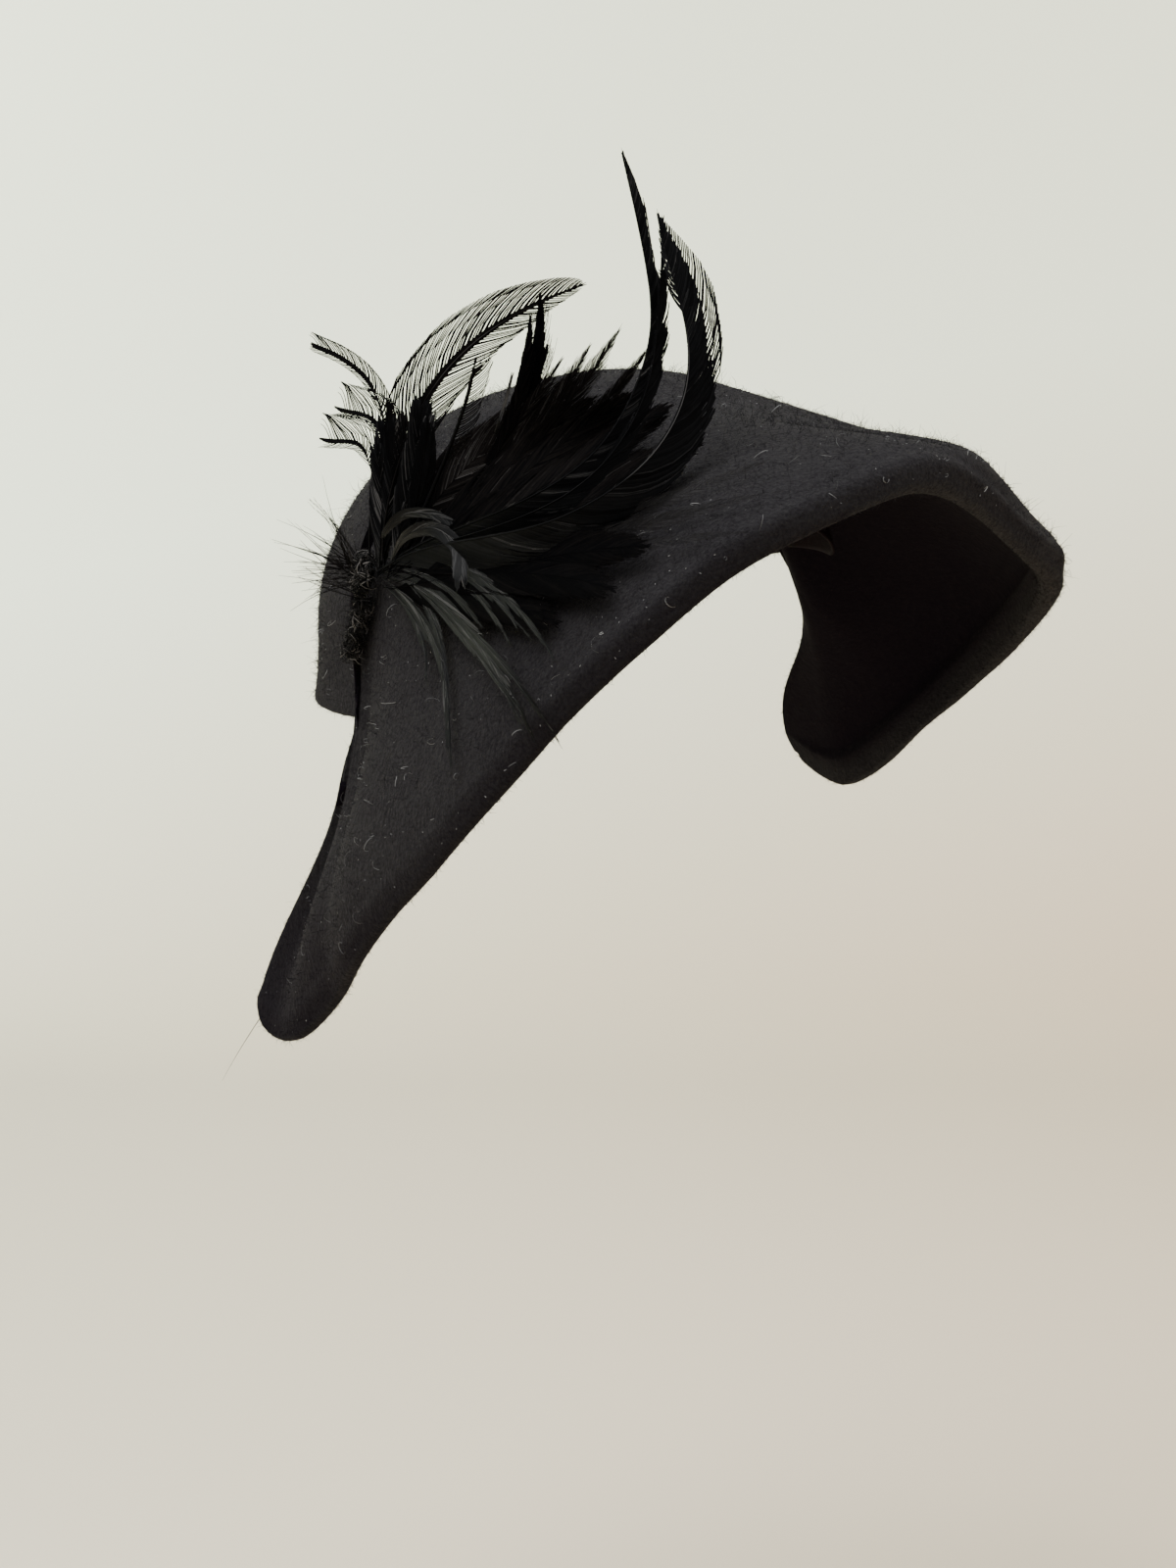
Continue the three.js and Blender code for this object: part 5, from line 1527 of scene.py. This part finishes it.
def stub_core(rings=60, around=28):
    """The stub's outline turned round its axis, with thread turns as a fine sine ripple."""
    known = np.arange(len(STUB_OUTLINE))
    place = np.linspace(0, len(known) - 1, rings)
    down, wide = (np.interp(place, known, column) for column in STUB_OUTLINE.T)
    turns = 0.06 * np.sin(2 * np.pi * down * STUB["windings"]) * (wide > 0.3)
    radius = STUB["radius"] * np.maximum(0.8 * wide + turns - 0.1, 0.001)
    angle = np.linspace(0, 2 * np.pi, around, endpoint=False)
    ring = np.cos(angle)[:, None] * stub_side + np.sin(angle)[:, None] * stub_out
    points = stub_top + (down * stub_long)[:, None, None] * stub_axis + radius[:, None, None] * ring
    ids = np.arange(points[..., 0].size).reshape(points.shape[:2])
    return {"points": points, "faces": grid_faces(ids, across=True), "tint": 0.08}


def free_hairs(roots, directions, lengths, bends, width, steps=6, tint=0.4):
    """Loose hairs: each goes straight out by its direction and bends by a square law."""
    u = np.linspace(0, 1, steps)[None, :, None]
    line = roots[:, None] + directions[:, None] * lengths[:, None, None] * u
    line = line + bends[:, None] * lengths[:, None, None] * u**2
    run = unit(np.gradient(line, axis=1))
    flat = unit(np.cross(run, BOARD_NEAR + np.array([0.02, 0.01, 0.03])))
    half = (width[:, None] * (1 - 0.8 * u[..., 0]) / 2)[..., None]
    return strips(line + flat * half, line - flat * half, tint)


def curls(centres, sizes, random, width, steps=9, tint=0.5):
    """Loops of fluff: open arcs of a circle in a random plane, three quarters round."""
    count = len(centres)
    first = unit(random.normal(size=(count, 3)))
    second = unit(np.cross(first, random.normal(size=(count, 3))))
    angle = np.linspace(0, 1.5 * np.pi, steps)[None, :, None]
    grow = 1 + 0.5 * np.linspace(0, 1, steps)[None, :, None]
    line = centres[:, None] + sizes[:, None, None] * grow * (
        first[:, None] * np.cos(angle) + second[:, None] * np.sin(angle)
    )
    third = np.cross(first, second)[:, None] * width / 2
    return dict(strips(line + third, line - third, tint), along=0.5)


# %% Fluff over the knot and the stub
FLUFF_SEED = 7
random = np.random.default_rng(FLUFF_SEED)
knot_axes = (knot_across, knot_along, knot_out)
knot_radii = np.array([KNOT["wide"], KNOT["long"], KNOT_DEEP])
FLUFF = {"knot": 420, "stub": 700, "hairs": 260, "stiff": 60, "pale": 5}
COVER = {"knot": 0.62, "core": 0.58, "stub": (0.3, 0.75)}
angles = random.uniform(0, 2 * np.pi, FLUFF["knot"])
height = random.uniform(-0.2, 1, FLUFF["knot"])
flat = np.sqrt(1 - np.clip(height, -1, 1) ** 2)
on_knot = np.stack([flat * np.cos(angles), flat * np.sin(angles), height], -1)
knot_spots = knot_middle + (on_knot * knot_radii * COVER["knot"]) @ np.array(knot_axes)
knot_tints = random.uniform(0, 1, FLUFF["knot"]) ** FLUFF["pale"]
knot_parts = [
    ball(knot_middle, knot_axes, knot_radii * COVER["core"]),
    curls(knot_spots, random.uniform(0.6, 2.2, FLUFF["knot"]), random, 0.22, tint=knot_tints),
]
share = random.uniform(-0.05, 0.97, FLUFF["stub"])
angles = random.uniform(0, 2 * np.pi, FLUFF["stub"])
radial = np.cos(angles)[:, None] * stub_side + np.sin(angles)[:, None] * stub_out
stub_spots = stub_top + share[:, None] * stub_long * stub_axis
share_out = random.uniform(*COVER["stub"], (FLUFF["stub"], 1))
stub_spots = stub_spots + radial * (STUB["radius"] * share_out)
stub_tints = random.uniform(0, 1, FLUFF["stub"]) ** FLUFF["pale"]
stub_parts = [
    stub_core(),
    curls(stub_spots, random.uniform(0.5, 1.7, FLUFF["stub"]), random, 0.20, tint=stub_tints),
]

# Stiff hairs fan out to the back, and short ones stand all round the stub.
stiff = FLUFF["stiff"]
fan_angle = np.radians(random.uniform(98, 205, stiff))
lengths = random.uniform(8, 27, stiff) * (0.6 + 0.4 * np.sin(np.radians(110) - fan_angle / 2))
outward = np.cos(fan_angle)[:, None] * BOARD_RIGHT + np.sin(fan_angle)[:, None] * BOARD_UP
lean_out = random.uniform(0.15, 0.7, stiff)[:, None] * BOARD_NEAR
stiff_roots = knot_middle + random.normal(0, 1.6, (stiff, 3)) - BOARD_RIGHT * 3
hair_parts = [
    free_hairs(
        stiff_roots, unit(outward + lean_out), lengths,
        random.normal(0, 0.12, (stiff, 3)), random.uniform(0.26, 0.42, stiff),
        tint=random.uniform(0.2, 0.8, stiff),
    ),
]
few = FLUFF["hairs"]
short = unit(radial[:few] + 0.5 * random.normal(size=(few, 3)))
hair_parts.append(free_hairs(
    stub_spots[:few], short, random.uniform(1.5, 4.5, few),
    random.normal(0, 0.3, (few, 3)), random.uniform(0.12, 0.22, few),
    tint=random.uniform(0.1, 0.8, few),
))


# %% The quill's finish
QUILL_DARK = (0.0002, 0.0002, 0.0003)
QUILL_LIGHT = (0.110, 0.102, 0.096)


def quill_material():
    """Nearly black, with each pale thread picked out by its own tint."""
    constants = {"Specular IOR Level": 0.05, "Sheen Weight": 0.02, "Sheen Roughness": 0.5}
    material, shader, paint = new_material("bound_quill", constants)
    fluff = paint.noise(paint.here(), 1400.0, 3.0)
    shade = paint.carried("tint") * 0.9 + fluff * 0.3 - 0.15
    wire(paint, shader, {
        "Base Color": shade.between(QUILL_DARK, QUILL_LIGHT),
        "Roughness": 0.62 + fluff * 0.25,
        "Normal": bump(paint, fluff, 0.0002, 0.7),
    })
    return material


QUILL_FINISH = quill_material()
new_piece("tied_knot", knot_parts, QUILL_FINISH)
new_piece("bound_stub", stub_parts, QUILL_FINISH, replaces=("quill_stub",))
new_piece("stiff_hairs", hair_parts, FEATHER_FINISH)

# %% [markdown]
# ## Nap and lint
#
# Felt's outline is never a clean line: fibre ends stand off it by a millimetre or two, and
# dark felt gathers pale lint. Both are real hairs here, thin ribbons rooted at random places
# of the outer skin, drawn by area so that they lie evenly. The nap lies nearly flat and takes
# the painted light and shade of the felt under it; the lint is some hundreds of pale curled
# threads and specks.

# %% Places on the skin
NAP = {"count": 30000, "rim": 6000, "fuzz": 6500, "long": (0.6, 1.6), "wide": 0.12, "stand": 0.6}
LINT = {"threads": 340, "specks": 800, "wide": 0.11}
NAP_SEED = 21


def scatter(count, faces, random):
    """Faces drawn by their share of the area, a random place inside each, and the felt's painted
    shading there.
    """
    p, q, r = hood_points[faces].swapaxes(0, 1)
    area = np.linalg.norm(np.cross(q - p, r - p), axis=-1)
    pick = np.searchsorted(np.cumsum(area) / area.sum(), random.uniform(size=count))
    a, b = np.sort(random.uniform(size=(2, count)), axis=0)[:, :, None]
    p, q, r = p[pick], q[pick], r[pick]
    normal = unit(np.cross(q - p, r - p))
    return p + (q - p) * (b - a) + (r - p) * (1 - b), normal, hood_painted_shading[faces[pick, 0]]


def nap_hairs(count, faces, longest, random, stand=NAP["stand"]):
    """Short hairs that leave the felt at a slant and bend back toward it."""
    roots, normal, tint = scatter(count, faces, random)
    slant = unit(np.cross(normal, random.normal(size=(count, 3))))
    lengths = random.uniform(NAP["long"][0], longest, count)
    way = unit(slant + normal * random.uniform(0.1, 2 * stand, (count, 1)))
    bend = 0.35 * random.normal(size=(count, 3)) - 0.2 * normal
    wide = np.full(count, NAP["wide"])
    return free_hairs(roots, way, lengths, bend, wide, steps=3, tint=tint)


random = np.random.default_rng(NAP_SEED)
outer_faces = np.concatenate([skin_quads[:, [0, 1, 2]], skin_quads[:, [0, 2, 3]]])
rim_faces = np.concatenate([nose_quads[:, [0, 1, 2]], nose_quads[:, [0, 2, 3]]])
nap_parts = [
    nap_hairs(NAP["count"], outer_faces, NAP["long"][1], random),
    nap_hairs(NAP["rim"], rim_faces, NAP["long"][1] * 1.1, random),
    nap_hairs(NAP["fuzz"], outer_faces, 3 * NAP["long"][1], random, stand=1.6),
]
new_piece("felt_nap", nap_parts, FELT_FINISH)

# %% Lint
spots, normal, _ = scatter(LINT["threads"], outer_faces, random)
thread_sizes = random.uniform(0.3, 1.9, LINT["threads"])
thread_part = curls(spots + 0.5 * normal, thread_sizes, random, LINT["wide"])
spots, normal, _ = scatter(LINT["specks"], outer_faces, random)
slant = unit(np.cross(normal, random.normal(size=(LINT["specks"], 3))))
speck_part = free_hairs(
    spots + 0.3 * normal - 0.15 * slant, slant, random.uniform(0.25, 0.6, LINT["specks"]),
    0 * normal, random.uniform(0.12, 0.24, LINT["specks"]), steps=9,
)


def lint_material():
    """Grey threads, some paler than others by a broad noise."""
    material, shader, paint = new_material("pale_lint", {"Specular IOR Level": 0.1})
    patches = paint.noise(paint.here(), 90.0, 1.0)
    wire(paint, shader, {
        "Base Color": patches.ramp([(0.35, 0.04), (0.7, 0.28)]),
        "Roughness": 0.8 + patches * 0.1,
    })
    return material


new_piece("felt_lint", [thread_part, speck_part], lint_material())

# %% Two stray hairs
STRAYS = [
    # from x, y to x, y on the board, bend aside, width
    (-95.0, -116.0, -107.5, -134.5, 0.06, 0.24),
    (-69.5, -33.0, -74.5, -46.0, 0.10, 0.22),
]


def skin_near(x, y):
    """The skin's point whose place on the board is nearest to x, y."""
    depth = skin @ BOARD_NEAR
    share = depth / BOARD["eye"]
    away = 1 - share
    seen_x = (skin @ BOARD_RIGHT - BOARD["eye_x"] * share) / away
    seen_y = (skin @ BOARD_UP - BOARD["eye_y"] * share) / away
    return skin[np.argmin((seen_x - x) ** 2 + (seen_y - y) ** 2)]


stray_table = np.array(STRAYS)
stray_roots = np.array([skin_near(x, y) for x, y in stray_table[:, :2]])
reach = stray_table[:, 2:4] - stray_table[:, :2]
stray_ways = reach[:, :1] * BOARD_RIGHT + reach[:, 1:] * BOARD_UP
stray_part = free_hairs(
    stray_roots, unit(stray_ways), np.linalg.norm(stray_ways, axis=-1),
    stray_table[:, 4:5] * BOARD_RIGHT, stray_table[:, 5], steps=12, tint=0.2,
)
new_piece("stray_hairs", [stray_part], FEATHER_FINISH)

# %% [markdown]
# ## Floor and light
#
# The hat is held up as if worn, so the floor lies well below and curves up into a pale
# backdrop that is warmer low down and to the right. A big soft window of light stands at the
# upper left front and another soft light above, two weak ones fill from the front and the
# right, and a pale sky closes the shadows. Two more lamps light the backdrop alone.

# %% Floor, lamps and sky
FLOOR_DROP = 0.34
COVE = {"wide": 5.0, "near": -3.0, "bend": 1.6, "radius": 0.9, "high": 3.2}


def cove_profile():
    """A flat run, a quarter circle, and an upright wall, as points of y and z."""
    angles = np.linspace(0, np.pi / 2, 24)
    run = [[COVE["near"], 0.0]]
    curve = np.stack([
        COVE["bend"] + COVE["radius"] * np.sin(angles),
        COVE["radius"] * (1 - np.cos(angles)),
    ], -1)
    wall_top = [[COVE["bend"] + COVE["radius"], COVE["high"]]]
    return np.concatenate([run, curve, wall_top])


profile = cove_profile()
side = np.array([-COVE["wide"], COVE["wide"]])
cove = np.stack([
    np.broadcast_to(side[:, None], (2, len(profile))),
    np.broadcast_to(profile[:, 0], (2, len(profile))),
    np.broadcast_to(profile[:, 1] - FLOOR_DROP, (2, len(profile))),
], -1)
spin = VIEW["az"]
cove = np.stack([
    cove[..., 0] * np.cos(spin) - cove[..., 1] * np.sin(spin),
    cove[..., 0] * np.sin(spin) + cove[..., 1] * np.cos(spin),
    cove[..., 2],
], -1)
floor_mesh = bpy.data.meshes.new("studio_floor")
cove_faces = grid_faces(np.arange(cove[..., 0].size).reshape(cove.shape[:2]))
floor_mesh.from_pydata(cove.reshape(-1, 3).tolist(), [], cove_faces.tolist())
floor_mesh.polygons.foreach_set("use_smooth", np.full(len(cove_faces), True))
floor = bpy.data.objects.new("studio_floor", floor_mesh)
bpy.context.scene.collection.objects.link(floor)
floor_material, floor_shader, floor_paint = new_material("pale_paper", {"Roughness": 0.9})
PAPER = {"pale": (0.815, 0.86, 0.70), "warm": (0.60, 0.46, 0.33)}
WARMER = {"right": 0.36, "up": -1.5, "start": 0.22}
lean = tuple(picture_right * WARMER["right"] + np.array([0, 0, WARMER["up"]]))
dot = {"operation": "DOT_PRODUCT"}
ends = {0: floor_paint.here(), 1: lean}
warmth = floor_paint.add("ShaderNodeVectorMath", dot, ends, "Value")
warmth = warmth + WARMER["start"]
wire(floor_paint, floor_shader, {"Base Color": warmth.between(PAPER["pale"], PAPER["warm"])})
floor_mesh.materials.append(floor_material)

# Lamps: where they stand round the hat, in metres of the view's right, near and up. Those
# behind the hat face away from it.
LAMPS = [
    # name, right, near, up, size, watts, colour
    ("window_light", -1.0, 1.15, 1.75, 1.6, 62.0, (0.985, 1.0, 0.985)),
    ("front_light", -0.4, 1.8, 1.2, 1.4, 5.0, (1.0, 0.95, 0.96)),
    ("fill_light", 1.5, 1.0, 0.5, 1.6, 1.5, (1.0, 0.75, 0.75)),
    ("top_light", -0.1, 0.1, 1.7, 1.4, 38.0, (0.97, 0.98, 1.0)),
    ("wall_light_left", -1.2, -1.2, 0.9, 1.2, 40.0, (0.99, 1.0, 0.95)),
    ("wall_light_right", 1.2, -1.2, 0.9, 1.2, 20.0, (1.0, 0.93, 0.82)),
]
near = np.array([np.sin(VIEW["az"]), -np.cos(VIEW["az"]), 0.0])
for name, right, forward, up, size, watts, colour in LAMPS:
    lamp_data = bpy.data.lights.new(name, "AREA")
    lamp_data.shape = "SQUARE"
    lamp_data.size = size
    lamp_data.energy = watts
    lamp_data.color = colour
    lamp = bpy.data.objects.new(name, lamp_data)
    bpy.context.scene.collection.objects.link(lamp)
    spot = picture_right * right + near * forward + np.array([0, 0, up])
    lamp.location = Vector(spot)
    lamp.rotation_mode = "QUATERNION"
    aim = -near if forward < 0 else -spot
    lamp.rotation_quaternion = Vector(aim).to_track_quat("-Z", "Y")

world = bpy.data.worlds.new("studio_sky")
world.use_nodes = True
sky = world.node_tree.nodes["Background"]
sky.inputs["Color"].default_value = (0.93, 0.95, 0.93, 1)
sky.inputs["Strength"].default_value = 0.95
bpy.context.scene.world = world
